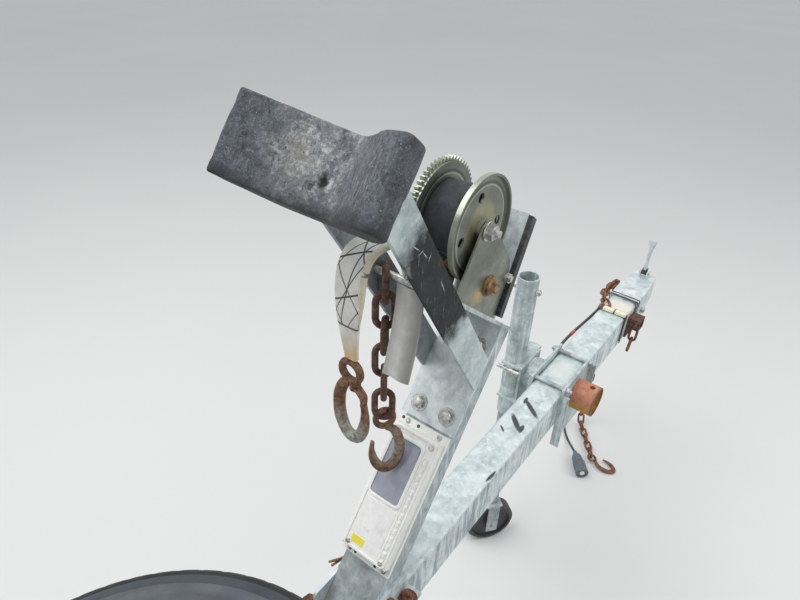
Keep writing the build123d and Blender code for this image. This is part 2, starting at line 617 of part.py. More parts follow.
pin += hexagon((JACK_X, JACK_Y + JACK_R, JACK_TOP - 34), (JACK_X, JACK_Y + JACK_R + 7, JACK_TOP - 34), 15)
save("jack_cross_bolt", pin)
pull = rod((JACK_X - 24, collar_out, 30), (JACK_X - 24, collar_out + 62, 30), 5)
pull += rod((JACK_X - 24, collar_out, 30), (JACK_X - 24, collar_out + 26, 30), 9)
pull -= Pos(JACK_X, JACK_Y, 0) * Cylinder(JACK_R + 0.4, 400)
save("jack_pull_pin", pull)

leg = upright_tube(JACK_X, JACK_Y, LEG_R, LEG_WALL, LEG_LOW, LEG_TOP)
save("jack_leg", leg)
axle_z = GROUND + WHEEL_R
fork = Pos(0, 0, LEG_LOW - 3) * Box(48, WHEEL_W + 22, 6)
for side in (-1, 1):
    fork += Pos(0, side * (WHEEL_W / 2 + 8), (LEG_LOW + axle_z - 22) / 2) * Box(34, 6, LEG_LOW - axle_z + 22)
fork -= Pos(0, 0, axle_z) * Rot(90, 0, 0) * Cylinder(6, 200)
fork = Pos(JACK_X, JACK_Y, 0) * Rot(0, 0, WHEEL_TURN) * fork
save("jack_fork", fork)
wheel_axle = Pos(JACK_X, JACK_Y, axle_z) * Rot(0, 0, WHEEL_TURN) * Rot(90, 0, 0) * Cylinder(6, WHEEL_W + 34)
save("jack_wheel_axle", wheel_axle)
tread = Cylinder(WHEEL_R, WHEEL_W)
tread = chamfer(tread.edges().filter_by(GeomType.CIRCLE), 7)
for side in (-1, 1):
    tread -= Pos(0, 0, side * WHEEL_W / 2) * (Cylinder(WHEEL_R - 14, 16) - Cylinder(19, 16))
tread -= Cylinder(6 + RUN, 100)
tread = Pos(JACK_X, JACK_Y, axle_z) * Rot(0, 0, WHEEL_TURN) * Rot(90, 0, 0) * tread
save("jack_wheel", tread)

# Coupler: a pressed channel over the tongue's end that narrows to the ball socket, and its latch lever.
neck = COUPLER_REAR + 0.38 * COUPLER_LENGTH
cheek = COUPLER_REAR + 0.724 * COUPLER_LENGTH
plan = [(COUPLER_REAR, -SIDE - COUPLER_T), (neck, -SIDE - COUPLER_T), (cheek, -36), (COUPLER_END - 24, -33),
        (COUPLER_END - 6, -20), (COUPLER_END, 0), (COUPLER_END - 6, 20), (COUPLER_END - 24, 33), (cheek, 36),
        (neck, SIDE + COUPLER_T), (COUPLER_REAR, SIDE + COUPLER_T)]
side_view = [(COUPLER_REAR, -34), (neck, -34), (cheek, -30), (COUPLER_END, -22), (COUPLER_END, 26),
             (COUPLER_END - 18, 44), (LATCH_X + 6, 52), (LATCH_X - 24, 52), (neck + 8, TOP + COUPLER_T),
             (COUPLER_REAR, TOP + COUPLER_T)]
shell_out = extrude(Pos(0, 0, -100) * Polygon(*plan, align=None), amount=200, dir=(0, 0, 1))
shell_out = shell_out & slab(side_view, -60, 60)
cut_plan = [(COUPLER_REAR - 1, -SIDE), (neck - 3, -SIDE), (cheek - 2, -32), (COUPLER_END - 26, -29),
            (COUPLER_END - 10, -18), (COUPLER_END - 5, 0), (COUPLER_END - 10, 18), (COUPLER_END - 26, 29),
            (cheek - 2, 32), (neck - 3, SIDE), (COUPLER_REAR - 1, SIDE)]
cut_side = [(COUPLER_REAR - 1, -60), (COUPLER_END, -60), (COUPLER_END, 22), (COUPLER_END - 21, 38),
            (LATCH_X + 4, 46), (LATCH_X - 24, 46), (neck + 8, TOP), (COUPLER_REAR - 1, TOP)]
shell_in = extrude(Pos(0, 0, -100) * Polygon(*cut_plan, align=None), amount=200, dir=(0, 0, 1))
shell_in = shell_in & slab(cut_side, -60, 60)
coupler = shell_out - shell_in
for side in (-1, 1):
    coupler += slab([(LATCH_X - 12, 49), (LATCH_X + 12, 49), (LATCH_X + 8, LATCH_Z + 8), (LATCH_X - 8, LATCH_Z + 8)],
                    side * 11 - 2, side * 11 + 2)
coupler -= cross(LATCH_X, LATCH_Z, 4, -30, 30)
for x in (COUPLER_REAR + 20, COUPLER_REAR + 62):
    coupler -= cross(x, 0, 6, -60, 60)
save("coupler_body", coupler)
latch_pin = cross(LATCH_X, LATCH_Z, 4, -16, 16)
save("latch_pin", latch_pin)
lever = slab([(LATCH_X - 7, LATCH_Z - 6), (LATCH_X + 7, LATCH_Z - 6), (LATCH_X + 6, LATCH_Z + 50),
              (LATCH_X + 14, LATCH_Z + LATCH_TALL), (LATCH_X - 12, LATCH_Z + LATCH_TALL),
              (LATCH_X - 5, LATCH_Z + 50)], -8, 8)
lever -= cross(LATCH_X, LATCH_Z, 4 + RUN, -30, 30)
save("latch_lever", lever)
bolts = []
for x in (COUPLER_REAR + 20, COUPLER_REAR + 62):
    bolt = cross(x, 0, 6, -SIDE - COUPLER_T - 12, SIDE + COUPLER_T + 8)
    bolt += hexagon((x, -SIDE - COUPLER_T - 9, 0), (x, -SIDE - COUPLER_T, 0), 19)
    bolt += hexagon((x, SIDE + COUPLER_T, 0), (x, SIDE + COUPLER_T + 7, 0), 19)
    bolts.append(bolt)
save("coupler_bolts", bolts)

# Band with two light tabs over the tongue behind the coupler, and the chain bracket on the right.
band = slab([(BAND_X - 5, -30), (BAND_X + 5, -30), (BAND_X + 5, TOP + 3), (BAND_X - 5, TOP + 3)], -SIDE - 3, SIDE + 3)
band -= Pos(BAND_X, 0, 0) * Box(60, TONGUE_W, TONGUE_H)
band = fillet(band.edges().filter_by(Axis.X).group_by(Axis.Z)[-1], 2)
save("marker_band", band)
tabs = []
for y in (11, -24):
    tabs.append(Pos(BAND_X, y, TOP + 3 + 4) * Box(14, 30, 8))
save("marker_tabs", tabs)

ring_bracket = Pos(RING_X, -SIDE - 3, -8) * Box(46, 6, 66)
ring_bracket += Pos(RING_X, -SIDE - 21, 8) * (Box(40, 30, 34) - Box(30, 40, 24))
save("chain_bracket", ring_bracket)

right_route = [(RING_X, -SIDE - 21, -17), (RING_X - 4, -SIDE - 21, -50), (RING_X - 26, -SIDE - 21, -102)]
right_links = chain(right_route, SAFE_L, SAFE_W, SAFE_D)[0]
save("safety_chain_right", right_links)
left_route = [(1893, 23, TOP + 3.7), (1925, 45, TOP + 4), (1965, 60, TOP), (2070, 62, 36), (2130, 66, 0),
              (2160, 80, -120), (2166, 86, GROUND + 64), (2146, 72, GROUND + 14),
              (1998, -38, GROUND + 14)]
left_links, left_end, left_way = chain(left_route, SAFE_L, SAFE_W, SAFE_D)
save("safety_chain_left", left_links)
tilt = radians(6.5)
eye = left_end + left_way * 8.9
grab = Plane(origin=(eye.X, eye.Y, eye.Z), x_dir=(0, -sin(tilt), cos(tilt)), z_dir=(0, cos(tilt), sin(tilt))) * hook(84, 44, 8)
save("safety_hook", grab)

# Wiring: one cable from the tongue's left side to the plug on the ground.


def cord(points, r):
    # A round cord along a quadratic curve held by the points, ending on the first and last.
    joins = [points[0]]
    for a, b in zip(points[1:-2], points[2:-1]):
        joins.append(tuple((p + q) / 2 for p, q in zip(a, b)))
    joins.append(points[-1])
    parts = [Bezier(joins[n], points[n + 1], joins[n + 1]) for n in range(len(joins) - 1)]
    path = Wire(parts)
    return sweep(Plane(origin=path @ 0, z_dir=path % 0) * Circle(r), path)


plug_front = Vector(1960, 6, GROUND + 23)
plug_back = Vector(1906, -37, GROUND + 23)
plug_way = (plug_front - plug_back).normalized()
near = plug_front + plug_way * 0.3
far = plug_front + plug_way * 34
cable_route = [(1628, SIDE + 0.6, 34), (1630, 54, 34), (1720, 57, 30), (1830, 53, 22), (1905, 52, 16), (1985, 58, 0),
               (2060, 92, -60), (2085, 112, -260), (2095, 118, -560), (2102, 122, GROUND + 4.2), (2040, 76, GROUND + 4.2),
               (far.X, far.Y, far.Z), (near.X, near.Y, near.Z)]
save("plug_cable", cord(cable_route, CABLE_R))
plug = rod((plug_front.X, plug_front.Y, plug_front.Z), (plug_back.X, plug_back.Y, plug_back.Z), 22)
save("plug", plug)
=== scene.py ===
"""The looks of the boat trailer tongue: finishes, webbing, cable, tyre, rubber block and small fittings.

Everything is in metres, in the same frame as the CAD: X forward along the tongue, Y left and Z up.
"""
import math

import bmesh
import bpy
import numpy as np
from mathutils import Matrix, Vector, noise


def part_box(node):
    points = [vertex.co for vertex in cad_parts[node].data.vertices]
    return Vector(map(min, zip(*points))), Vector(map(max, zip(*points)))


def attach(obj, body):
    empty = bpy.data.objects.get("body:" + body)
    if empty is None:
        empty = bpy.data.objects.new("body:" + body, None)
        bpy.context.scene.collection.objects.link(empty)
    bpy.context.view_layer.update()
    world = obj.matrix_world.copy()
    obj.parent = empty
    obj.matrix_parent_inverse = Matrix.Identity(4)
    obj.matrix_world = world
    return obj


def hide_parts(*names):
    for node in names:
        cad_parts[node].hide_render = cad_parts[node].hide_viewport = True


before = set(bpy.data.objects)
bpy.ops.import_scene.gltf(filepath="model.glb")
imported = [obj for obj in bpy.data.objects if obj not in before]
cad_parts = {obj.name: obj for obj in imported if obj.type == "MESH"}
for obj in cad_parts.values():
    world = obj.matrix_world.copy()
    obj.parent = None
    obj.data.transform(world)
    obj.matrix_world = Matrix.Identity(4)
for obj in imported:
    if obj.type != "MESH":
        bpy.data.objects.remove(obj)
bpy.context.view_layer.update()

# Places and sizes that part.py uses too.
GROUND = -0.655
SIDE = 0.038
TOP = 0.05
LEAN = math.radians(51.5)
SHELF = Vector((1.056, 0.0, 0.48))
SPARE = Vector((0.365, -0.04, 0.141))
TYRE_W = 0.178
PLATE_LENGTH = 0.19
STUD_Y = 0.059
CABLE_R = 0.004

# Directions.
RIGHT = (0, -1, 0)
UP = (0, 0, 1)


def st(s, t, y=0.0):
    """Stand coordinates: s square off the post's face towards the boat, t up along the post."""
    return Vector((SHELF.x - s * math.sin(LEAN) + t * math.cos(LEAN), y,
                   SHELF.z + s * math.cos(LEAN) + t * math.sin(LEAN)))


# The stand's own directions, then the centres of the drum, the spacer bar and the pinion.
BACK = (st(1, 0) - st(0, 0)).normalized()
ALONG = (st(0, 1) - st(0, 0)).normalized()
DRUM = st(0.17, 0.097)
TIE = st(0.24, -0.005)
PINION = Vector((1.00297, -0.042, 0.57007))


def put(thing, **values):
    """Sets some of a Blender thing's properties, and returns it."""
    for key, value in values.items():
        setattr(thing, key, value)
    return thing


# Materials.
class Finish:
    """A material's nodes, with short ways to add and join them."""

    def __init__(self, name, rough=0.5, metal=0.0, **shader):
        self.mat = bpy.data.materials.new(name)
        self.mat.use_nodes = True
        self.tree = self.mat.node_tree
        self.shader = self.tree.nodes["Principled BSDF"]
        self.set(self.shader, Roughness=rough, Metallic=metal, **shader)
        self.coords = self.tree.nodes.new("ShaderNodeTexCoord").outputs["Object"]
        self.burn = None

    def join(self, socket, value):
        """Links a node's output to a socket, or sets a plain value on it."""
        if isinstance(value, bpy.types.NodeSocket):
            self.tree.links.new(value, socket)
        else:
            socket.default_value = value

    def set(self, node, **values):
        for key, value in values.items():
            self.join(node.inputs[key.replace("_", " ")], value)

    def add(self, kind, *inputs, out=0, props=None, **values):
        """Adds a node, with its inputs given in order or by name, and returns one output."""
        node = put(self.tree.nodes.new("ShaderNode" + kind), **(props or {}))
        for socket, value in zip(node.inputs, inputs):
            self.join(socket, value)
        self.set(node, **values)
        return node.outputs[out]

    def math(self, op, a, b=0.0):
        return self.add("Math", a, b, props={"operation": op})

    def plus(self, a, b):
        return self.math("ADD", a, b)

    def times(self, a, b):
        return self.math("MULTIPLY", a, b)

    def vector(self, op, *inputs, out=0):
        return self.add("VectorMath", *inputs, out=out, props={"operation": op})

    def noise(self, scale, detail=4.0, rough=0.6, vector=None, distortion=0.0):
        return self.add("TexNoise", Vector=vector or self.coords, Scale=scale, Detail=detail,
                        Roughness=rough, Distortion=distortion)

    def streaks(self, stretch, detail, rough, tilt=0):
        """A noise drawn out along an axis, tilted about Y."""
        drawn = self.add("Mapping", Vector=self.coords, Scale=stretch, Rotation=(0, math.radians(tilt), 0))
        return self.noise(1.0, detail, rough, drawn)

    def place(self, k):
        """The object's own coordinate along an axis."""
        return self.add("SeparateXYZ", self.coords, out=k)

    def facing(self, k):
        """How squarely the surface faces along an axis."""
        return self.math("ABSOLUTE", self.add("SeparateXYZ", self.add("NewGeometry", out="Normal"), out=k))

    def away(self, centre, axes):
        """The distance from a centre, measured over two axes."""
        steps = [self.math("SUBTRACT", self.place(k), centre[k]) for k in axes]
        return self.math("SQRT", self.plus(*(self.times(v, v) for v in steps)))

    def span(self, value, low, high, to_low=0.0, to_high=1.0):
        return self.add("MapRange", value, low, high, to_low, to_high)

    def mix(self, share, a, b, blend="MIX"):
        node = put(self.tree.nodes.new("ShaderNodeMix"), data_type="RGBA", blend_type=blend)
        for index, value in ((0, share), (6, a), (7, b)):
            self.join(node.inputs[index], (*value, 1.0) if isinstance(value, tuple) else value)
        return node.outputs[2]

    def layers(self, colour, *rows):
        """Lays tints over a colour where noises are high; a row is (noise, (low, high), share, tint)."""
        for grain, edges, share, tint in rows:
            colour = self.mix(self.span(self.noise(*grain), *edges, 0.0, share), colour, tint)
        return colour

    def near(self, point, size, soft=0.35, wobble=0.25, scale=60.0, turn=0.0, axis="Z"):
        """1 inside a rounded patch about a point, fading to 0, with a ragged edge."""
        ragged = self.times(self.math("SUBTRACT", self.noise(scale), 0.5), wobble * 2)
        away = self.vector("SUBTRACT", self.coords, tuple(point))
        if turn:
            angle = math.radians(turn if axis == "Y" else -turn)
            away = self.add("VectorRotate", props={"rotation_type": axis + "_AXIS"}, Vector=away, Angle=angle)
        scaled = self.vector("MULTIPLY", away, tuple(1.0 / v for v in size))
        return self.span(self.plus(self.vector("LENGTH", scaled, out="Value"), ragged), 1.0, 1.0 - soft)

    def mark(self, colour, tint, share, *patch):
        """Lays a share of a tint over a colour in a patch, given as near() takes it."""
        return self.mix(self.times(self.near(*patch), share), colour, tint)

    def bump(self, height, strength, distance):
        return self.add("Bump", Height=height, Strength=strength, Distance=distance)

    def done(self, colour, rough=None, normal=None):
        """Joins the shader's colour, roughness and normal."""
        for key, value in (("Base_Color", colour), ("Roughness", rough), ("Normal", normal)):
            if value is not None:
                self.set(self.shader, **{key: value})
        return self.mat

    def grained(self, colour, gloss, relief):
        """Closes with a roughness from (noise, low, high) and a bump from (noise, strength, distance)."""
        rough = self.span(self.noise(*gloss[0]), 0.3, 0.7, *gloss[1:])
        return self.done(colour, rough, self.bump(self.noise(*relief[0]), *relief[1:]))


def zinc(name, light=(0.58, 0.64, 0.63), dark=(0.29, 0.35, 0.36), bloom=0.5, drips=0.0, grime=0.4, extra=None):
    """Weathered galvanising: mottled patches, small spangles, white bloom and drips down upright faces."""
    f = Finish(name, metal=0.25)
    colour = f.layers(dark, ((26, 6, 0.62, None, 0.6), (0.36, 0.64), 1.0, light))
    spangle = f.add("SeparateColor", f.add("TexVoronoi", out="Color", Vector=f.coords, Scale=115))
    colour = f.mix(0.35, colour, f.mix(spangle, (0.3, 0.34, 0.36), (0.8, 0.84, 0.84)), "SOFT_LIGHT")
    colour = f.layers(colour, ((75, 5, 0.7), (0.54, 0.68), bloom, (0.82, 0.86, 0.86)))
    if drips:
        upright = f.span(f.facing(2), 0.75, 0.25)
        for drawn, edges, share, tint in (
                (((95, 95, 9), 4, 0.65), (0.47, 0.6), drips, (0.2, 0.24, 0.27)),
                (((70, 70, 7), 3, 0.6), (0.56, 0.68), 0.6, (0.78, 0.83, 0.84))):
            runs = f.span(f.streaks(*drawn, tilt=10), *edges, 0.0, share)
            colour = f.mix(f.times(runs, upright), colour, tint)
    colour = f.layers(colour, ((9, 7, 0.72), (0.56, 0.75), grime, (0.23, 0.24, 0.23)),
                      ((420, 2, 0.5), (0.66, 0.72), 0.55, (0.16, 0.17, 0.17)))
    if extra:
        colour = extra(f, colour)
    rough = f.span(f.noise(40, 4), 0.3, 0.7, 0.38, 0.68)
    if f.burn is not None:
        rough = f.plus(rough, f.times(f.burn, 0.35))
        f.set(f.shader, Metallic=f.span(f.burn, 0.0, 1.0, 0.25, 0.0))
    return f.done(colour, rough, f.bump(f.plus(f.noise(160, 4, 0.7), f.times(spangle, 0.25)), 0.22, 0.0012))


def rusty(name, deep=(0.055, 0.028, 0.02), warm=(0.3, 0.125, 0.055), bright=(0.5, 0.24, 0.1), metal=0.0,
          more=0.5):
    """Flaking rust: dark scale, orange-brown bloom and pits."""
    f = Finish(name, metal=metal)
    colour = f.layers(deep, ((120, 7, 0.7), (0.4, 0.62), 1.0, warm), ((300, 5, 0.7), (0.52, 0.7), more, bright),
                      ((60, 4), (0.6, 0.72), 0.5, (0.2, 0.19, 0.18)))
    return f.grained(colour, ((90,), 0.65, 0.95), ((420, 6, 0.75), 0.6, 0.0016))


def stub_rust(name):
    """Primer gone to rust: pink-brown above, orange below, dark inside and along the lip."""
    f = Finish(name)
    height = f.plus(f.place(2), f.times(f.noise(45, 5), 0.03))
    colour = f.mix(f.span(height, 0.008, 0.036), (0.56, 0.27, 0.055), (0.47, 0.195, 0.12))
    colour = f.layers(colour, ((70, 6, 0.7), (0.48, 0.66), 0.65, (0.26, 0.105, 0.05)),
                      ((26, 4), (0.56, 0.72), 0.5, (0.6, 0.36, 0.2)),
                      ((300, 4), (0.6, 0.7), 0.7, (0.1, 0.045, 0.03)))
    colour = f.mix(f.span(height, -0.008, -0.028, 0.0, 0.7), colour, (0.2, 0.085, 0.035))
    colour = f.mix(f.span(f.place(1), -0.0965, -0.1015, 0.0, 0.75), colour, (0.075, 0.035, 0.028))
    return f.grained(colour, ((90,), 0.55, 0.85), ((260, 6, 0.75), 0.35, 0.0012))


def scorched(f, colour):
    """The right arm's burnt middle, with scratches and flecks."""
    arm_face = -0.0505
    f.burn = f.near(st(0.24, 0.018), (0.115, 0.2, 0.128), 0.25, 0.28, 45)
    black = f.layers((0.003, 0.003, 0.004), ((240, 5, 0.7), (0.58, 0.74), 1.0, (0.03, 0.03, 0.034)))
    scratch = f.span(f.streaks((900, 900, 60), 3, 0.5, 38), 0.68, 0.72, 0.0, 0.6)
    black = f.mix(scratch, black, (0.42, 0.44, 0.45))
    for x, z, half, turn in ((0.8145, 0.708, 0.01, -40), (0.832, 0.6925, 0.0085, -52),
                             (0.824, 0.699, 0.007, 20), (0.841, 0.686, 0.006, 55),
                             (0.872, 0.635, 0.012, -62)):
        black = f.mark(black, (0.62, 0.64, 0.65), 1.0, (x, arm_face, z), (half, 0.01, 0.0008), 0.8, 0.5, 400, turn, "Y")
    colour = f.mix(f.times(f.burn, 0.97), colour, black)
    for x, z, half, turn in ((0.89, 0.562, 0.011, -58), (0.904, 0.545, 0.011, -46),
                             (0.893, 0.553, 0.008, -50)):
        colour = f.mark(colour, (0.085, 0.095, 0.1), 1.0, (x, arm_face, z), (half, 0.01, 0.0011), 0.7, 0.4, 300,
                        turn, "Y")
    return colour


def scuffed(f, colour):
    """Dark scuffs on the tongue's top, pale and stained patches, and rust that runs from the clamp."""
    for x, y, long, wide, turn in ((1.368, -0.005, 0.038, 0.0072, 51), (1.385, 0.018, 0.014, 0.005, 8),
                                   (1.306, 0.001, 0.034, 0.0078, 44), (1.296, -0.018, 0.016, 0.006, 5),
                                   (1.271, 0.016, 0.013, 0.003, 48), (1.14, -0.033, 0.022, 0.0035, -4)):
        colour = f.mark(colour, (0.055, 0.06, 0.065), 1.0, (x, y, TOP), (long, wide, 0.01), 0.35, 0.3, 300, turn)
    for centre, size, soft, wobble, scale, share, tint in (
            ((1.54, 0.0, TOP), (0.045, 0.05, 0.02), 0.5, 0.3, 60, 0.7, (0.7, 0.73, 0.7)),
            ((1.92, 0.0, TOP), (0.034, 0.06, 0.03), 0.4, 0.3, 70, 1.0, (0.74, 0.71, 0.63)),
            ((1.89, 0.0, TOP), (0.012, 0.06, 0.02), 0.6, 0.5, 90, 1.0, (0.3, 0.2, 0.14)),
            ((1.545, -SIDE, -0.02), (0.05, 0.01, 0.045), 0.7, 0.4, 70, 0.6, (0.4, 0.25, 0.15))):
        colour = f.mark(colour, tint, share, centre, size, soft, wobble, scale)
    return colour


def foot_stains(f, colour):
    """Rust stains low on the winch post."""
    stain = f.span(f.noise(34, 5), 0.52, 0.66, 0.0, 0.55)
    return f.mix(f.times(stain, f.span(f.place(2), 0.17, 0.07)), colour, (0.38, 0.22, 0.13))


def yellow_zinc(name, stained=False, drum=False):
    """Passivated sheet: grey-green gold with soft drift, painted highlights on the faces that are not turned sideways,
    a stain, or the drum's rings with a painted highlight on its rim.
    """
    f = Finish(name, metal=0.75)
    colour = f.layers((0.155, 0.17, 0.14), ((14, 4, 0.6, None, 1.2), (0.35, 0.65), 1.0, (0.245, 0.262, 0.222)),
                      ((7, 3), (0.52, 0.7), 0.4, (0.33, 0.3, 0.17)),
                      ((90, 5, 0.7), (0.55, 0.7), 0.5, (0.11, 0.12, 0.1)))
    if drum:
        away = f.away(DRUM, (0, 2))
        # The drum's rings round its axle: a dark line at the flange's outer edge, a thin bright line that is a painted
        # highlight on the rim, and a yellowish ring round the hub.
        for radius, wide, tint, share in ((0.0605, 0.003, (0.07, 0.075, 0.06), 0.75),
                                          (0.057, 0.0016, (0.56, 0.56, 0.46), 0.6),
                                          (0.025, 0.015, (0.42, 0.4, 0.22), 0.6)):
            off = f.math("ABSOLUTE", f.math("SUBTRACT", away, radius))
            colour = f.mix(f.span(off, wide, wide * 0.35, 0.0, share), colour, tint)
    # Painted highlight: rims, edges and gear teeth, which are not turned sideways, are tinted lighter.
    colour = f.mix(f.span(f.facing(1), 0.8, 0.4, 0.0, 0.6), colour, (0.4, 0.41, 0.34))
    if stained:
        for shift, size, tint, share in ((0.0, 0.02, (0.5, 0.3, 0.12), 0.85),
                                         (0.026, 0.028, (0.5, 0.37, 0.16), 0.8)):
            colour = f.mark(colour, tint, share, (1.003 - shift, -0.042, 0.57 - shift * 0.1),
                            (size, 0.02, size * 0.7), 0.85, 0.35, 90)
    return f.grained(colour, ((55, 5), 0.24, 0.5), ((260, 3), 0.08, 0.0008))


def bolt_zinc(name):
    """Dulled plating with rust coming through."""
    f = Finish(name, metal=0.7)
    colour = f.layers((0.3, 0.3, 0.28), ((150, 5, 0.7), (0.4, 0.62), 1.0, (0.62, 0.63, 0.61)),
                      ((260, 4), (0.58, 0.7), 0.5, (0.33, 0.22, 0.14)))
    return f.grained(colour, ((120,), 0.3, 0.6), ((700, 3), 0.2, 0.0006))


def hook_steel(name):
    """Rust over pewter-grey steel, bare low on the snap hook and round the grab hook's back."""
    f = Finish(name, metal=0.35)
    colour = f.layers((0.06, 0.035, 0.026), ((120, 7, 0.7), (0.4, 0.62), 1.0, (0.26, 0.125, 0.07)),
                      ((300, 5, 0.7), (0.52, 0.7), 0.6, (0.46, 0.27, 0.15)))
    low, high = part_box("chain_hook")
    back = (low + high) / 2 + Vector((0.017, -0.011, -0.01))
    snap = f.near((0.771, 0.004, 0.445), (0.05, 0.05, 0.046), 0.7, 0.3, 70)
    grab = f.near(back, (0.03, 0.03, 0.04), 0.7, 0.3, 70)
    steel = f.layers((0.2, 0.205, 0.175), ((150, 6, 0.7), (0.38, 0.62), 1.0, (0.47, 0.48, 0.43)))
    bare = f.times(f.math("MAXIMUM", snap, grab), f.span(f.noise(80, 6, 0.7), 0.66, 0.5))
    colour = f.mix(f.times(bare, 0.92), colour, steel)
    return f.grained(colour, ((90,), 0.5, 0.85), ((420, 6, 0.75), 0.45, 0.0014))


def worn_rubber(name):
    """The bow block: black rubber rubbed grey and white, streaked along its lobe, dark below, with gouges."""
    f = Finish(name)
    colour = f.layers((0.016, 0.018, 0.022), ((34, 7, 0.72), (0.38, 0.62), 1.0, (0.06, 0.068, 0.08)),
                      ((230, 7, 0.85), (0.48, 0.64), 0.85, (0.25, 0.275, 0.31)),
                      ((48, 7, 0.8, None, 0.8), (0.42, 0.6), 0.45, (0.16, 0.185, 0.225)))
    worn = f.near(st(0.458, 0.068, 0.014), (0.085, 0.058, 0.085), 0.95, 0.55, 40)
    lobe = f.near(st(0.47, 0.052, -0.052), (0.075, 0.052, 0.08), 0.9, 0.5, 45)
    for grain, edges, where, share, tint in (
            (f.noise(70, 7, 0.8, distortion=0.8), (0.38, 0.58), worn, 0.85, (0.4, 0.41, 0.405)),
            (f.noise(150, 7, 0.85), (0.5, 0.6), worn, 0.85, (0.74, 0.76, 0.78))):
        colour = f.mix(f.times(f.times(f.span(grain, *edges), where), share), colour, tint)
    colour = f.mark(colour, (0.46, 0.42, 0.33), 0.3, st(0.462, 0.058, 0.028), (0.022, 0.02, 0.032), 0.9, 0.5, 60)
    lines = f.times(f.span(f.streaks((60, 420, 60), 6, 0.8), 0.5, 0.62), lobe)
    colour = f.mix(f.times(lines, 0.6), colour, (0.42, 0.44, 0.46))
    colour = f.layers(colour, ((620, 3, 0.6), (0.66, 0.72), 0.9, (0.62, 0.65, 0.68)),
                      ((170, 4, 0.7), (0.37, 0.3), 0.95, (0.008, 0.008, 0.01)))
    level = f.plus(f.times(f.place(0), ALONG.x), f.times(f.place(2), ALONG.z))
    foot = SHELF.dot(ALONG)
    dark = f.span(f.plus(level, f.times(f.noise(32, 6, 0.7), 0.034)), foot + 0.046, foot + 0.03)
    colour = f.mix(f.times(dark, 0.8), colour, (0.012, 0.012, 0.014))
    colour = f.mark(colour, (0.7, 0.72, 0.74), 0.7, st(0.447, 0.0453, -0.006), (0.006, 0.004, 0.009), 0.5, 0.8, 420)
    colour = f.mark(colour, (0.005, 0.005, 0.006), 1.0, st(0.447, 0.0443, 0.0006), (0.0085, 0.0065, 0.011), 0.5,
                    0.6, 260)
    return f.grained(colour, ((230, 7, 0.85), 0.55, 0.9), ((210, 8, 0.85), 0.9, 0.0028))


def tyre_rubber(name):
    """Tyre rubber: blue-grey sidewalls with soft smears, near-black tread and shoulders that are painted shade where
    they turn away, with a little dust.
    """
    f = Finish(name)
    colour = f.layers((0.02, 0.025, 0.034), ((12, 6, 0.7, None, 0.7), (0.35, 0.65), 1.0, (0.042, 0.053, 0.072)))
    away = f.away(SPARE, (0, 1))
    # Painted shade: past the sidewall's outer ring the shoulder and tread turn near-black; the same band also gets dust
    # and more roughness.
    edge = f.span(f.plus(away, f.times(f.noise(30, 3), 0.002)), 0.2862, 0.288)
    colour = f.mix(edge, colour, (0.007, 0.0075, 0.009))
    dust = f.times(edge, f.span(f.noise(60, 6, 0.7), 0.5, 0.7, 0.0, 0.5))
    colour = f.mix(dust, colour, (0.05, 0.048, 0.046))
    wear = f.math("ABSOLUTE", f.math("SUBTRACT", f.plus(away, f.times(f.noise(45, 4), 0.006)), 0.2985))
    colour = f.mix(f.span(wear, 0.0012, 0.0005, 0.0, 0.45), colour, (0.095, 0.088, 0.082))
    colour = f.layers(colour, ((520, 3), (0.68, 0.74), 0.7, (0.16, 0.17, 0.18)))
    rough = f.plus(f.span(f.noise(14, 5), 0.35, 0.65, 0.4, 0.58), f.times(edge, 0.25))
    return f.done(colour, rough, f.bump(f.noise(420, 5), 0.15, 0.0008))


def plain(name, colour, other, rough=(0.4, 0.7), grime=0.25):
    """Plastic, paint or rubber with a little drift in its colour, dirt and grain."""
    f = Finish(name)
    colour = f.layers(colour, ((120, 5, 0.65), (0.38, 0.64), 1.0, other),
                      ((22, 6, 0.7), (0.55, 0.75), grime, (0.2, 0.18, 0.15)))
    return f.grained(colour, ((45,), *rough), ((600, 4), 0.15, 0.0008))


def solar_glass(name):
    """The tracker's window: grey-lavender glass with fine streaks, a painted teal glint along the top and a dark right
    edge.
    """
    f = Finish(name)
    colour = f.layers((0.275, 0.285, 0.35), ((50, 5), (0.36, 0.64), 1.0, (0.345, 0.358, 0.425)))
    streak = f.span(f.streaks((60, 600, 60), 3, 0.6), 0.56, 0.7, 0.0, 0.35)
    colour = f.mix(streak, colour, (0.46, 0.47, 0.54))
    # Painted reflection: a teal glint along the window's top edge.
    colour = f.mark(colour, (0.1, 0.34, 0.3), 0.8, on_case(0.000, -0.224), (0.005, 0.024, 0.005), 0.7, 0.5, 120)
    colour = f.mark(colour, (0.075, 0.085, 0.11), 0.8, on_case(-0.019, -0.233), (0.018, 0.0026, 0.018), 0.6, 0.3, 120)
    return f.grained(colour, ((45,), 0.1, 0.22), ((250, 3), 0.03, 0.0006))


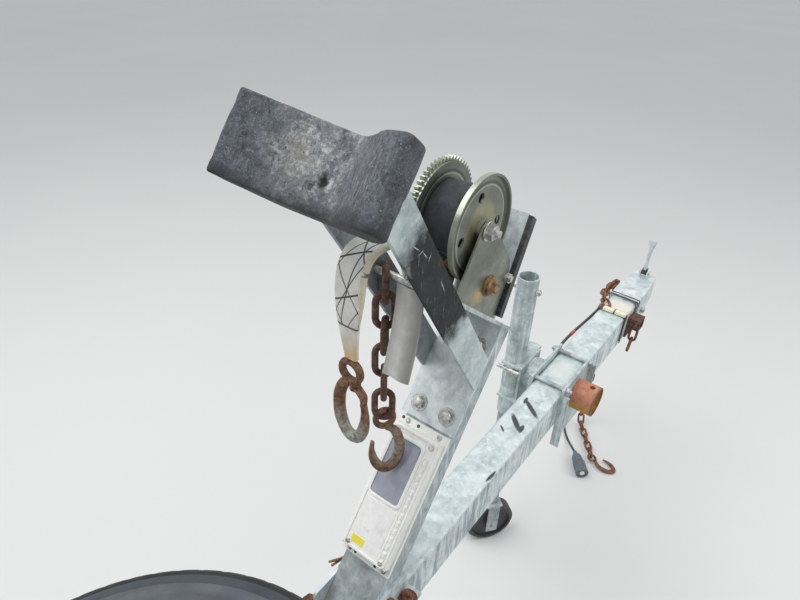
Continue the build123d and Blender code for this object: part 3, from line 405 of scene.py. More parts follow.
def webbing(name, colour, edge, lines=0.0, stain=None, sheen=0.0, grime=(0.55, 0.55, 0.52), extra=None):
    """Woven strap: ribs across, a finer thread along, drifted colour, printed or sewn lines and a stain."""
    f = Finish(name, Sheen_Weight=sheen)
    uv = f.add("UVMap", props={"uv_map": "along"})

    def waves(direction, vector, scale, distortion, detail, **more):
        return f.add("TexWave", out="Fac", props={"bands_direction": direction}, Vector=vector, Scale=scale,
                     Distortion=distortion, Detail=detail, **more)

    weave = f.times(waves("Y", uv, 160.0, 0.4, 1.0), waves("X", uv, 260.0, 0.8, 1.0))
    colour = f.layers(colour, ((70, 5), (0.35, 0.65), 1.0, edge))
    colour = f.mix(f.span(weave, 0.0, 0.5, 0.35, 0.0), colour, tuple(v * 0.6 for v in edge))
    colour = f.layers(colour, ((26, 6, 0.7), (0.52, 0.72), 0.45, grime))
    if lines:
        sewn = 0.0
        for scale, turn in ((12.5, 28), (10.0, -34), (7.5, 62), (9.0, 12)):
            turned = f.add("Mapping", Vector=uv, Rotation=(0, 0, math.radians(turn)))
            bands = waves("X", turned, scale, 1.1, 1.5, Detail_Scale=0.6)
            sewn = f.math("MAXIMUM", sewn, f.span(bands, 0.99, 0.998))
        along = f.add("SeparateXYZ", uv, out=1)
        sewn = f.times(sewn, f.span(along, lines + 0.002, lines))
        hem = f.times(f.span(along, lines - 0.001, lines + 0.0005), f.span(along, lines + 0.003, lines + 0.0015))
        colour = f.mix(f.math("MAXIMUM", sewn, hem), colour, (0.055, 0.058, 0.062))
    if stain:
        low, high, tint = stain
        colour = f.mix(f.span(f.plus(f.place(2), f.times(f.noise(90, 4), 0.03)), high, low), colour, tint)
    if extra:
        colour = extra(f, colour)
    return f.done(colour, f.span(f.noise(80), 0.3, 0.7, 0.6, 0.9), f.bump(weave, 0.5, 0.0006))


def painted_edge_shade(f, colour):
    """Painted shade: the grey strap darkens towards its edges, where its rounded sides turn from the light."""
    across = f.math("ABSOLUTE", f.plus(f.place(1), 0.0045))
    return f.mix(f.span(across, 0.005, 0.022, 0.0, 0.75), colour, (0.24, 0.24, 0.225))


# Shapes.
class Piece:
    """One mesh, gathered from turned, swept and flat shapes, then finished as an object."""

    def __init__(self, name):
        self.name = name
        self.bm = bmesh.new()
        self.uv = self.bm.loops.layers.uv.new("along")

    def rings(self, rings, closed=False, capped=True, lengths=None, widths=None):
        """Joins rings of points with quads; lengths and widths lay the weave's coordinates, in metres."""
        made = [[self.bm.verts.new(p) for p in ring] for ring in rings]
        count = len(made)
        sides = len(made[0])
        for n in range(count if closed else count - 1):
            low, high = made[n], made[(n + 1) % count]
            for k in range(sides):
                other = (k + 1) % sides
                face = self.bm.faces.new((low[k], low[other], high[other], high[k]))
                if lengths:
                    marks = ((n, k), (n, k + 1), (n + 1, k + 1), (n + 1, k))
                    for loop, (a, b) in zip(face.loops, marks):
                        loop[self.uv].uv = (widths[b], lengths[a])
        if capped and not closed:
            self.bm.faces.new(list(reversed(made[0])))
            self.bm.faces.new(made[-1])

    def lathe(self, origin, axis, profile, sides=32, turn=0.0, capped=True, closed=False):
        """Turns (radius, along) pairs round an axis."""
        axis = Vector(axis).normalized()
        side = axis.orthogonal().normalized()
        side.rotate(Matrix.Rotation(turn, 3, axis))
        other = axis.cross(side)
        angles = [2 * math.pi * k / sides for k in range(sides)]
        self.rings([[Vector(origin) + axis * along + (side * math.cos(a) + other * math.sin(a)) * radius
                     for a in angles] for radius, along in profile], closed, capped)

    def sweep(self, points, section, up, closed=False):
        """Carries a section of (across, up) pairs along points."""
        points = [Vector(p) for p in points]
        count = len(points)
        rings = []
        lengths = [0.0]
        for n, point in enumerate(points):
            before = points[n - 1] if closed or n else point
            after = points[(n + 1) % count] if closed or n < count - 1 else point
            way = (after - before).normalized()
            across = way.cross(Vector(up)).normalized()
            rise = across.cross(way)
            rings.append([point + across * a + rise * b for a, b in section])
            if n:
                lengths.append(lengths[-1] + (point - points[n - 1]).length)
        lengths.append(lengths[-1] + (points[0] - points[-1]).length)
        self.rings(rings, closed, not closed, lengths, girth(section))

    def washer(self, origin, axis, outer, inner, height):
        e = min(height * 0.3, 0.0006)
        profile = [(inner, 0), (outer - e, 0), (outer, e), (outer, height - e), (outer - e, height), (inner, height)]
        self.lathe(origin, axis, profile, 36, closed=True, capped=False)

    def done(self, mat, body="tongue_body", slot=None, smooth=35, bevel=0.0, replaces=()):
        """Makes the object, with its material, edges, body and the CAD nodes it stands for; slot is not used."""
        bmesh.ops.recalc_face_normals(self.bm, faces=self.bm.faces)
        mesh = bpy.data.meshes.new(self.name)
        self.bm.to_mesh(mesh)
        self.bm.free()
        obj = link(self.name, mesh)
        mesh.materials.append(mat)
        if bevel:
            put(obj.modifiers.new("edges", "BEVEL"), width=bevel, segments=2, limit_method="ANGLE",
                angle_limit=math.radians(35))
        mesh.polygons.foreach_set("use_smooth", [True] * len(mesh.polygons))
        mesh.set_sharp_from_angle(angle=math.radians(smooth))
        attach(obj, body)
        if replaces:
            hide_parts(*replaces)
        return obj


def link(name, data):
    """Makes an object and puts it in the scene."""
    obj = bpy.data.objects.new(name, data)
    bpy.context.scene.collection.objects.link(obj)
    return obj


def circle(r, sides):
    """A round section for sweep()."""
    return [(r * math.cos(2 * math.pi * k / sides), r * math.sin(2 * math.pi * k / sides)) for k in range(sides)]


def bar(wide, low, high):
    """A flat section for sweep()."""
    return [(-wide / 2, low), (wide / 2, low), (wide / 2, high), (-wide / 2, high)]


def girth(section, wide=1.0, high=1.0):
    """How far round a section each of its points lies."""
    found = [0.0]
    for a, b in zip(section, section[1:] + section[:1]):
        found.append(found[-1] + math.hypot((b[0] - a[0]) * wide, (b[1] - a[1]) * high))
    return found


def smooth_line(points, steps):
    """A Catmull-Rom curve through a few points."""
    pts = [Vector(p) for p in points]
    last = len(pts) - 1
    line = []
    for n in range(last):
        p0, p1, p2, p3 = pts[max(n - 1, 0)], pts[n], pts[n + 1], pts[min(n + 2, last)]
        for k in range(steps):
            t = k / steps
            line.append(0.5 * ((2 * p1) + (p2 - p0) * t + (2 * p0 - 5 * p1 + 4 * p2 - p3) * t * t
                               + (3 * p1 - p0 - 3 * p2 + p3) * t ** 3))
    return line + [pts[-1]]


# Chains.
def islands(node):
    """The separate solids of a CAD node, as lists of points."""
    bm = bmesh.new()
    bm.from_mesh(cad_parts[node].data)
    bmesh.ops.remove_doubles(bm, verts=bm.verts, dist=1e-5)
    done = set()
    found = []
    for start in bm.verts:
        if start in done:
            continue
        done.add(start)
        group = [start]
        for vert in group:  # The group grows as neighbours are found.
            for other in (edge.other_vert(vert) for edge in vert.link_edges):
                if other not in done:
                    done.add(other)
                    group.append(other)
        found.append([tuple(vert.co) for vert in group])
    bm.free()
    return found


def main_axes(points):
    """The middle, the long way and the wide way of a link."""
    points = np.array(points)
    middle = points.mean(axis=0)
    _, axes = np.linalg.eigh(np.cov((points - middle).T))
    return Vector(middle), Vector(axes[:, 2]), Vector(axes[:, 1])


def chain_links(name, node, length, width, wire, mat, turn=0.0):
    """Round, smooth links in the places of the CAD's plainer ones, each turned a little unlike the last."""
    piece = Piece(name)
    r = (width - wire) / 2
    run = (length - width) / 2
    for n, points in enumerate(islands(node)):
        middle, way, wide = main_axes(points)
        wide.rotate(Matrix.Rotation(turn + math.radians(5) * math.sin(n * 2.3), 3, Vector(UP)))
        wide = (wide - way * wide.dot(way)).normalized()
        track = [middle + way * side * (run + r * math.sin(a)) + wide * side * r * math.cos(a)
                 for side in (1, -1) for a in (math.pi * k / 8 for k in range(9))]
        piece.sweep(track, circle(wire / 2, 10), way.cross(wide), closed=True)
    piece.done(mat, slot="rust", replaces=(node,))


# Soft goods.
BAND_STEPS = 7


def ease(t):
    """A soft step from 0 to 1."""
    return 3 * t * t - 2 * t ** 3


def band_scale(share, start, end):
    """How wide a strap is at a share of its length, where its end tapers."""
    if share <= start:
        return 1.0
    return 1 - (1 - end) * ease((share - start) / (1 - start))


def band_shift(y, share, start_shift):
    """The middle of a strap across, where its start lies to one side."""
    return y + start_shift * (1 - ease(min(1.0, share / 0.6)))


def flat_band(name, points, width, thick, y, mat, taper=None, start_shift=0.0, folds=0.0, **given):
    """A strap that follows a line in X and Z, with rounded edges, a slight crown and soft folds along it."""
    line = smooth_line(points, BAND_STEPS)
    sides = 16
    section = []
    for share in (2 * k / sides - 1 for k in range(sides + 1)):
        section.append((share * width / 2, thick * (0.5 - 0.22 * share ** 6), share))
    section += [(a, -b, share) for a, b, share in reversed(section)]
    total = len(line) - 1
    rings = []
    lengths = [0.0]
    centres = [Vector((p[0], band_shift(y, n / total, start_shift), p[2])) for n, p in enumerate(line)]
    for n, p in enumerate(centres):
        size = band_scale(n / total, *taper) if taper else 1.0
        way = (line[min(n + 1, total)] - line[max(n - 1, 0)]).normalized()
        across = Vector((0, 1, 0))
        rise = across.cross(way).normalized()
        ring = []
        for a, b, share in section:
            wave = 0.0007 * noise.noise(Vector((p.x, a, p.z)) * 38)
            wave += folds * (math.cos(share * 4.6 + n / total * 1.6) - 0.4)
            ring.append(p + across * (a * size) + rise * (b * (1.25 - 0.25 * size) + wave))
        rings.append(ring)
        if n:
            lengths.append(lengths[-1] + (p - centres[n - 1]).length)
    piece = Piece(name)
    piece.rings(rings, lengths=lengths, widths=girth(section))
    piece.done(mat, smooth=60, **given)


# Each strap's line, as (X, Z) from the spacer bar.
SLING = [(0.001, 0.0055), (-0.016, 0.054), (-0.046, 0.076), (-0.076, 0.074), (-0.094, 0.048), (-0.098, -0.006),
         (-0.094, -0.062)]
STRAP = [(-0.001, -0.0054), (-0.004, -0.045), (-0.014, -0.09), (-0.026, -0.132)]


def sling(mat, edge_mat):
    """The white bow sling: a doubled strap over the spacer bar, with a rolled edge and a tapering end."""
    y, shift, taper = 0.003, -0.02, (0.74, 0.5)
    line = [(TIE.x + x, 0, TIE.z + z) for x, z in SLING]
    flat_band("bow_sling", line, 0.037, 0.007, y, mat, slot="white_webbing", replaces=("sling",), taper=taper,
              start_shift=shift)
    path = smooth_line(line, BAND_STEPS)
    lip = []
    sizes = []
    for n, p in enumerate(path):
        share = n / (len(path) - 1)
        if share <= 0.86:
            lip.append(Vector((p[0], band_shift(y, share, shift) - 0.0185 * band_scale(share, *taper), p[2])))
            sizes.append(1.0 if share < 0.72 else max(0.25, 1 - (share - 0.72) / 0.16))
    roll = Piece("sling_rolled_edge")
    roll.rings([[p + a * x * size + b * y * size for x, y in circle(0.0042, 12)]
                for (p, a, b), size in zip(framed(lip), sizes)])
    roll.done(edge_mat, slot="white_webbing")


def strap(mat):
    """The grey strap that hangs from the spacer bar."""
    line = [(TIE.x + x, 0, TIE.z + z) for x, z in STRAP]
    flat_band("bow_strap", line, 0.04, 0.0055, -0.01, mat, slot="grey_webbing", replaces=("grey_strap",),
              folds=0.0011)


def wound_webbing(mat):
    """Winch webbing wound on the drum: a spiral of thin layers with slightly uneven edges."""
    turns, steps = 9, 60
    outer, layer, half = 0.052, 0.0016, 0.0258
    tilt = math.radians(-70)
    section = [(k / 10 * 2 - 1, 0.5) for k in range(11)]
    section += [(a, -b) for a, b in reversed(section)]
    rings = []
    lengths = [0.0]
    for n in range(turns * steps + 1):
        a = 2 * math.pi * n / steps
        r = outer - layer * turns + layer * n / steps - layer / 2
        edge = 0.0012 * noise.noise(Vector((n / steps * 1.3, 4.2, 1.7)))
        out = BACK * math.cos(a + tilt) + ALONG * math.sin(a + tilt)
        rings.append([DRUM + out * (r + v * layer * 0.92 + 0.0003 * noise.noise(Vector((u * 3, n / 9, 0))))
                      + Vector((0, u * half + edge, 0)) for u, v in section])
        lengths.append(lengths[-1] + r * 2 * math.pi / steps)
    piece = Piece("wound_webbing")
    piece.rings(rings, lengths=lengths, widths=girth(section, half, layer))
    piece.done(mat, body="winch_drum_body", slot="black_webbing", smooth=50, replaces=("winch_webbing",))


# Wiring.
CABLE = [(1.628, 0.0386, 0.034), (1.63, 0.054, 0.034), (1.72, 0.057, 0.03), (1.83, 0.053, 0.022),
         (1.905, 0.052, 0.016), (1.985, 0.058, 0.0), (2.06, 0.092, -0.06), (2.085, 0.112, -0.26),
         (2.095, 0.118, -0.56), (2.102, 0.122, GROUND + 0.0042), (2.04, 0.076, GROUND + 0.0042)]
PLUG_FRONT = Vector((1.96, 0.006, GROUND + 0.023))
PLUG_BACK = Vector((1.906, -0.037, GROUND + 0.023))


def wiring(cable_mat, plug_mat, tape_mat, pin_mat):
    """The cable, its plug, its two bands of tape and the grommet where it leaves the coupler."""
    way = (PLUG_FRONT - PLUG_BACK).normalized()
    points = [Vector(p) for p in CABLE] + [PLUG_FRONT + way * 0.034, PLUG_FRONT + way * 0.0003]
    curve = put(bpy.data.curves.new("cable", "CURVE"), dimensions="3D", bevel_depth=CABLE_R, bevel_resolution=4,
                resolution_u=16, use_fill_caps=True)
    spline = curve.splines.new("NURBS")
    spline.points.add(len(points) - 1)
    for point, place in zip(spline.points, points):
        point.co = (*place, 1.0)
    put(spline, order_u=3, use_endpoint_u=True)
    cable = link("wiring_cable", curve)
    curve.materials.append(cable_mat)
    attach(cable, "tongue_body")
    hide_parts("plug_cable")
    pieces = plug(way, plug_mat, pin_mat)

    bare = bpy.data.objects.new("line", put(curve.copy(), bevel_depth=0.0))
    route = [v.co.copy() for v in bpy.data.meshes.new_from_object(bare).vertices]
    for name, share, long, extra in (("cable_tape", 0.085, 0.024, 0.0011), ("cable_tape_end", 0.255, 0.02, 0.0009)):
        line = framed(along_route(route, share, long))
        radii = [CABLE_R + extra * (0.55 if n in (0, len(line) - 1) else 1.0) for n in range(len(line))]
        band = Piece(name)
        band.rings([[p + a * x + b * y for x, y in circle(r, 20)] for (p, a, b), r in zip(line, radii)])
        pieces.append(band.done(tape_mat))
    grommet = Piece("cable_grommet")
    grommet.lathe((CABLE[0][0], SIDE, CABLE[0][2]), (0, 1, 0),
                  [(0.0042, 0.0), (0.0105, 0.0002), (0.011, 0.0015), (0.0085, 0.0042), (0.006, 0.0095),
                   (0.005, 0.01), (0.0042, 0.0098)], 32, closed=True, capped=False)
    pieces.append(grommet.done(cable_mat))


def plug(way, plug_mat, pin_mat):
    """The plug's ribbed body and its contact face."""
    length = (PLUG_BACK - PLUG_FRONT).length
    body = Piece("plug_body")
    profile = [(0.0045, -0.033), (0.0062, -0.0325), (0.0072, -0.028), (0.007, -0.0265), (0.008, -0.0255),
               (0.0084, -0.0215), (0.0082, -0.02), (0.011, -0.018), (0.015, -0.012), (0.0176, -0.004),
               (0.018, 0.015), (0.018, 0.017), (0.017, 0.0176), (0.017, 0.019), (0.0192, 0.02)]
    profile += [(r, length - back) for r, back in ((0.02, 0.014), (0.0212, 0.013), (0.0218, 0.011), (0.0218, 0.002),
                                                   (0.0208, 0.0004), (0.019, 0.0004), (0.0184, 0.003),
                                                   (0.011, 0.003))]
    body.lathe(PLUG_FRONT, -way, profile, 48)
    side = way.orthogonal().normalized()
    ribs = 10
    for n in range(ribs):
        out = side.copy()
        out.rotate(Matrix.Rotation(2 * math.pi * n / ribs, 3, way))
        rib = [PLUG_FRONT - way * along + out * r
               for along, r in ((0.018, 0.0192), (0.018 + 0.0262, 0.0198), (length - 0.012, 0.0198))]
        body.sweep(rib, [(-0.0022, -0.001), (0.0022, -0.001), (0.0015, 0.0016), (-0.0015, 0.0016)], out)
    face = Piece("plug_face")
    face.lathe(PLUG_FRONT, -way, [(0.0085, length - 0.0032), (0.0085, length - 0.0012), (0.0078, length - 0.0004),
                                  (0.0052, length - 0.0002)], 32)
    return [body.done(plug_mat, slot="plug_slate", replaces=("plug",)), face.done(pin_mat, slot="tab_cream")]


def along_route(route, share, long):
    """Seven points of the route in a stretch that starts at a share of its length."""
    steps = [0.0]
    for a, b in zip(route, route[1:]):
        steps.append(steps[-1] + (b - a).length)
    found = []
    for n in range(7):
        want = share * steps[-1] + long * n / 6
        k = max(i for i, s in enumerate(steps[:-1]) if s <= want)
        found.append(route[k].lerp(route[k + 1], (want - steps[k]) / (steps[k + 1] - steps[k])))
    return found


def framed(line):
    """Each point of a line with two directions square to it."""
    out = []
    for n, p in enumerate(line):
        way = (line[min(n + 1, len(line) - 1)] - line[max(n - 1, 0)]).normalized()
        a = way.cross(Vector(UP) if abs(way.z) < 0.9 else Vector((1, 0, 0))).normalized()
        out.append((p, a, way.cross(a)))
    return out


# Bow block. Corners are ((y, s), radius), and dents are ((y, s, t), size, depth).
BLOCK_CORNERS = (((-0.098, 0.457), 0.008), ((-0.058, 0.411), 0.008), ((0.062, 0.411), 0.008), ((0.104, 0.461), 0.006),
                 ((0.104, 0.488), 0.004), ((-0.017, 0.44), 0.014), ((-0.072, 0.485), 0.022), ((-0.098, 0.488), 0.012))
BLOCK_DENTS = (((0.0006, 0.447, 0.0443), 0.0065, 0.004), ((0.055, 0.47, 0.072), 0.012, 0.0018),
               ((0.078, 0.478, 0.035), 0.01, 0.0016), ((-0.045, 0.463, 0.08), 0.009, 0.0018),
               ((0.01, 0.452, 0.088), 0.008, 0.0028), ((-0.012, 0.443, 0.092), 0.01, 0.0035))


def rounded(corners, step=0.0024):
    """An outline from (point, radius) corners, shared out into even steps."""
    points = [Vector(p) for p, _ in corners]
    fine = []
    for n, (p, (_, r)) in enumerate(zip(points, corners)):
        before, after = points[n - 1], points[(n + 1) % len(points)]
        a, b = (p + (q - p).normalized() * min(r, (q - p).length * 0.49) for q in (before, after))
        for t in (k / 8 for k in range(9)):
            fine.append(a * (1 - t) ** 2 + p * 2 * t * (1 - t) + b * t * t)
    even = []
    for a, b in zip(fine, fine[1:] + fine[:1]):
        parts = max(1, round((b - a).length / step))
        even += [a.lerp(b, k / parts) for k in range(parts)]
    return even


def bow_block(mat):
    """The rubber bow block: a notched bar with a fat rounded lobe, chipped edges and a worn, dented face."""
    outline = rounded(BLOCK_CORNERS)
    count = len(outline)
    ways = [(outline[(n + 1) % count] - outline[n - 1]).normalized() for n in range(count)]
    outward = [Vector((way.y, -way.x)) for way in ways]
    low, high, r = 0.0108, 0.0968, 0.0032
    ends = [[(end + sign * r * (1 - math.cos(a)), r * (1 - math.sin(a)))
             for a in (math.pi / 2 * k / 5 for k in range(6))] for end, sign in ((low, 1), (high, -1))]
    middle = [(low + 0.005 + (high - low - 0.01) * k / 30, 0.0) for k in range(1, 30)]
    rings = []
    for t, inset in ends[0] + middle + ends[1][::-1]:
        ring = []
        for p, out in zip(outline, outward):
            spot = Vector((p.x, p.y, t))
            move = -inset
            move += 0.0016 * noise.noise(spot * 28) + 0.0009 * noise.noise(spot * 75) + 0.0004 * noise.noise(spot * 210)
            near_end = min(t - low, high - t)
            if near_end < 0.008:
                move -= 0.0022 * max(0.0, noise.noise(Vector((p.x * 55, p.y * 55, t * 20)))) * (1 - near_end / 0.008)
            for centre, size, deep in BLOCK_DENTS:
                away = (spot - Vector(centre)).length / size
                move -= deep * math.exp(-away * away)
            q = p + out * min(move - 0.0004, 0.0)
            ring.append(st(q.y, t, q.x))
        rings.append(ring)
    piece = Piece("block_worn")
    piece.rings(rings)
    piece.done(mat, slot="block_rubber", smooth=70, replaces=("bow_block",))


# Hooks.
def forged_hook(name, node, place, ahead, up, width, length, eye, wire, thick, flat, mat, side=1, gate=False):
    """A forged hook in the place of the CAD's plainer one: a ring eye, then a bowl that is thickest at its back."""
    ahead, up = Vector(ahead).normalized(), Vector(up).normalized()
    out = ahead.cross(up)
    piece = Piece(name)
    ring = [place + ahead * eye * math.cos(a) + up * eye * math.sin(a) for a in (math.pi * k / 16 for k in range(32))]
    piece.sweep(ring, circle(wire, 12), out, closed=True)
    top = -eye - wire * 0.6
    tall = (length + top) / 2

    def bowl(share):
        a = math.radians(92 + 293 * share)
        return a, place + ahead * side * (width / 2 * math.cos(a)) + up * (top - tall + tall * math.sin(a))

    rings = []
    steps = 56
    for share in (n / steps for n in range(steps + 1)):
        a, point = bowl(share)
        inward = (ahead * side * -math.cos(a) * tall + up * -math.sin(a) * width / 2).normalized()
        fat = 0.52 + 0.48 * math.sin(math.pi * min(1.0, share * 1.05)) ** 0.7
        fat *= 1.0 if share < 0.86 else max(0.35, 1 - (share - 0.86) * 2.6)
        rough = 1 + 0.05 * noise.noise(point * 90)
        rings.append([point + inward * (x * thick * fat * rough) + out * (y * flat * (0.7 + 0.3 * fat) * rough)
                      for x, y in circle(1.0, 16)])
    piece.rings(rings)
    if gate:
        tip = bowl(1.0)[1]
        root = place + up * (top - 0.002) + ahead * side * 0.006
        bend = root.lerp(tip, 0.5) + ahead * side * 0.006
        half = ((-0.0055, -0.0014), (0.0055, -0.0014), (0.006, 0.0))
        leaf = [(x * end, z * end) for end in (1, -1) for x, z in half]
        piece.sweep(smooth_line([root, bend, tip], 6), leaf, ahead)
        for k in range(5):
            piece.lathe(root + up * (0.003 - 0.0022 * k), up, [(0.0062, 0.0), (0.0072, 0.0008), (0.0062, 0.0016)], 16)
    piece.done(mat, slot="rust", replaces=(node,), smooth=50)


def hooks(mat, plain_mat):
    """The sling's snap hook, the bow chain's grab hook and the safety chain's hook on the ground."""
    forged_hook("snap_hook", "sling_hook", Vector((TIE.x - 0.094, 0.004, TIE.z - 0.0828)), (0, 1, 0), UP, 0.042,
                0.107, 0.014, 0.005, 0.0098, 0.0066, mat, side=-1, gate=True)
    tilt, turn = math.radians(17), math.radians(58)
    place = Vector((TIE.x + 0.003, 0.029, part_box("chain_hook")[1].z - 0.0195))
    across = Vector((-math.sin(turn), math.cos(turn), 0))
    rise = Vector((math.sin(tilt), 0, math.cos(tilt)))
    rise = (rise - across * rise.dot(across)).normalized()
    forged_hook("grab_hook", "chain_hook", place, across, rise, 0.044, 0.09, 0.0135, 0.0048, 0.0088, 0.0062, mat)
    tilt = math.radians(6.5)
    forged_hook("ground_hook", "safety_hook", Vector((2.0054, -0.0326, -0.6408)), (1, 0, 0),
                (0, math.cos(tilt), math.sin(tilt)), 0.042, 0.082, 0.013, 0.0039, 0.0086, 0.004, plain_mat)


# Tracker.
TRACKER_TOP = -0.206
TRACKER_TALL = 0.208


def on_case(y, t, h=0.0):
    """A point on the tracker's face, h above it."""
    s = 0.018 + 0.002 * (TRACKER_TOP - t) / TRACKER_TALL
    return st(s + h, t, y)


def box_outline(y0, y1, t0, t1, r, steps=6):
    """A rectangle with round corners, with the same number of points whatever its size."""
    points = []
    for cy, ct, start in ((y1 - r, t1 - r, 0), (y0 + r, t1 - r, 90), (y0 + r, t0 + r, 180), (y1 - r, t0 + r, 270)):
        for a in (math.radians(start + 90 * k / steps) for k in range(steps + 1)):
            points.append(Vector((cy + r * math.cos(a), ct + r * math.sin(a))))
    return points


def face_plate(piece, box, low, high, edge=0.0002, steps=6):
    """A flat raised shape on the tracker's face, with a softened edge; box is y0, y1, t0, t1 and radius."""
    outline = box_outline(*box, steps)
    middle = sum(outline, Vector((0, 0))) / len(outline)
    piece.rings([[on_case(*(p + (middle - p).normalized() * inset), h) for p in outline]
                 for h, inset in ((low, 0.0), (high - edge, 0.0), (high, edge))])


def rim_plate(piece, outer, inner, high):
    """A raised frame between two boxes on the tracker's face."""
    outer, inner = box_outline(*outer), box_outline(*inner)
    rim = high - 0.0005
    section = ((0.0, 0.0), (0.0, rim), (0.12, high), (0.88, high), (1.0, rim), (1.0, 0.0))
    piece.rings([[on_case(*a.lerp(b, share), h) for a, b in zip(outer, inner)] for share, h in section], closed=True)


def tracker_details(white, label_mat, yellow_mat, window_mat, screw_mat, dark_mat):
    """The tracker's raised frames, side ribs, blank labels, window, screws, and dark discs of painted shade in its
    empty holes.
    """
    body = Piece("tracker_mouldings")
    for outer, inner, high in (
            ((-0.0405, 0.0405, -0.4125, -0.2075, 0.006), (-0.037, 0.037, -0.409, -0.211, 0.004), 0.0018),
            ((-0.0245, 0.0375, -0.3255, -0.2185, 0.009), (-0.019, 0.0345, -0.3205, -0.2235, 0.006), 0.0016),
            ((-0.0355, -0.0265, -0.404, -0.233, 0.003), (-0.034, -0.028, -0.4025, -0.2345, 0.002), 0.0012)):
        rim_plate(body, outer, inner, high)
    for t in (-0.24 - n * 0.0127 for n in range(13)):
        face_plate(body, (-0.0338, -0.0282, t - 0.0044, t + 0.0036, 0.0012), 0.0, 0.0016, 0.0006, 3)
    for t in (-0.226 - n * 0.0088 for n in range(21)):
        body.lathe(st(0.004, t, 0.0415), BACK, [(0.004, 0.0), (0.0042, 0.006), (0.004, 0.0118), (0.003, 0.0128)], 14)
    body.done(white, slot="tracker_white", smooth=40)

    label = Piece("tracker_label_blank")
    face_plate(label, (-0.023, 0.035, -0.388, -0.329, 0.002), 0.0, 0.0005)
    face_plate(label, (0.005, 0.034, -0.2172, -0.2135, 0.001), 0.0, 0.0004)
    label.done(label_mat, slot="tracker_white")
    sticker = Piece("tracker_sticker_blank")
    face_plate(sticker, (0.006, 0.03, -0.4035, -0.3915, 0.001), 0.0, 0.0005)
    sticker.done(yellow_mat)
    glass = Piece("solar_window")
    face_plate(glass, (-0.0197, 0.0357, -0.3217, -0.2223, 0.004), -0.0038, -0.0004, 0.0006)
    glass.done(window_mat, slot="solar_blue", replaces=("solar_panel",))

    screws = Piece("tracker_screws")
    for y, t in ((-0.031, -0.2165), (0.031, -0.2165), (-0.0315, -0.4065), (0.033, -0.4065)):
        screws.lathe(on_case(y, t), BACK, [(0.0042, 0.0), (0.0042, 0.0018), (0.0034, 0.0024)], 6)
    for y, t in ((-0.03, -0.2), (0.03, -0.2), (-0.034, -0.4215), (0.034, -0.4215)):
        screws.lathe(st(0.001, t, y), BACK, [(0.0046, 0.0), (0.0046, 0.0006), (0.003, 0.001), (0.003, 0.0022),
                                             (0.0022, 0.0028)], 20)
    screws.done(screw_mat, slot="zinc_bolt")
    # Painted shade: dark discs stand for the shade inside the ears' empty screw holes.
    holes = Piece("tracker_hole_shade")
    for y, t in ((0.01, -0.2), (0.04, -0.1985), (0.022, -0.4225), (-0.018, -0.423)):
        holes.lathe(st(0.0009, t, y), BACK, [(0.0028, 0.0), (0.0028, 0.0003)], 18)
    holes.done(dark_mat)


# Fasteners.
def winch_nut(mat):
    """The nut on the drum's axle: a washer, a hexagon with a domed top, and the stud's end."""
    piece = Piece("winch_nuts")
    across, high, thick, stud = 0.0195, 0.0095, 0.0018, 0.0065
    origin, axis = Vector((DRUM.x, -0.0425, DRUM.z)), Vector(RIGHT)
    base = origin + axis * thick
    r = across / math.sqrt(3)
    piece.washer(origin, axis, 0.0138, across * 0.3, thick)
    piece.lathe(base, axis, [(r, 0), (r, high * 0.86)], 6, 0.2)
    piece.lathe(base + axis * high * 0.8, axis, [(across * 0.5, 0), (across * 0.49, high * 0.1),
                                                  (across * 0.42, high * 0.2)], 30)
    piece.lathe(base + axis * high, axis, [(across * 0.26, 0), (across * 0.26, stud - 0.0008), (across * 0.2, stud)],
                24)
    piece.done(mat, slot="zinc_bolt")


def fasteners(bolt_mat, rust_mat, flake_mat):
    """The pinion's worn bush, washers under the plate and base bolts, and the shoe's split pin."""
    winch_nut(bolt_mat)
    bush = Piece("pinion_bush")
    bush.lathe(PINION, RIGHT, [(0.0155, 0.0), (0.0158, 0.0012), (0.015, 0.0022), (0.0125, 0.0024), (0.0125, 0.004),
                               (0.0132, 0.0046), (0.0132, 0.0062), (0.012, 0.007)], 36)
    bush.done(rust_mat, slot="rust")
    plates = Piece("plate_washers")
    for t in (-0.046, 0.024 - PLATE_LENGTH):
        for y in (-0.026, 0.026):
            plates.washer(st(0, t, y), BACK, 0.0142, 0.006, 0.0016)
            plates.lathe(st(0.0066, t, y), BACK, [(0.0086, 0.0), (0.008, 0.0012), (0.0058, 0.0024), (0.003, 0.0029)],
                         24)
    plates.done(bolt_mat, slot="zinc_bolt")
    base = Piece("base_washers")
    for x in (0.722, 0.828):
        for y in (-STUD_Y, STUD_Y):
            base.washer(Vector((x, y, TOP + 0.006)), UP, 0.016, 0.007, 0.0022)
    base.done(flake_mat, slot="rust")
    pin = Piece("shoe_split_pin")
    for rise, spread in ((0.000, 0.0), (0.004, 0.006)):
        line = [(0.818, 0.0445, 0.094), (0.802, 0.05, 0.099 + rise * 0.5), (0.786, 0.051, 0.106 + rise),
                (0.768, 0.052 + spread, 0.112 + rise)]
        pin.sweep(smooth_line(line, 4), circle(0.0021, 10), (0, 1, 0))
    pin.done(rust_mat, slot="rust")


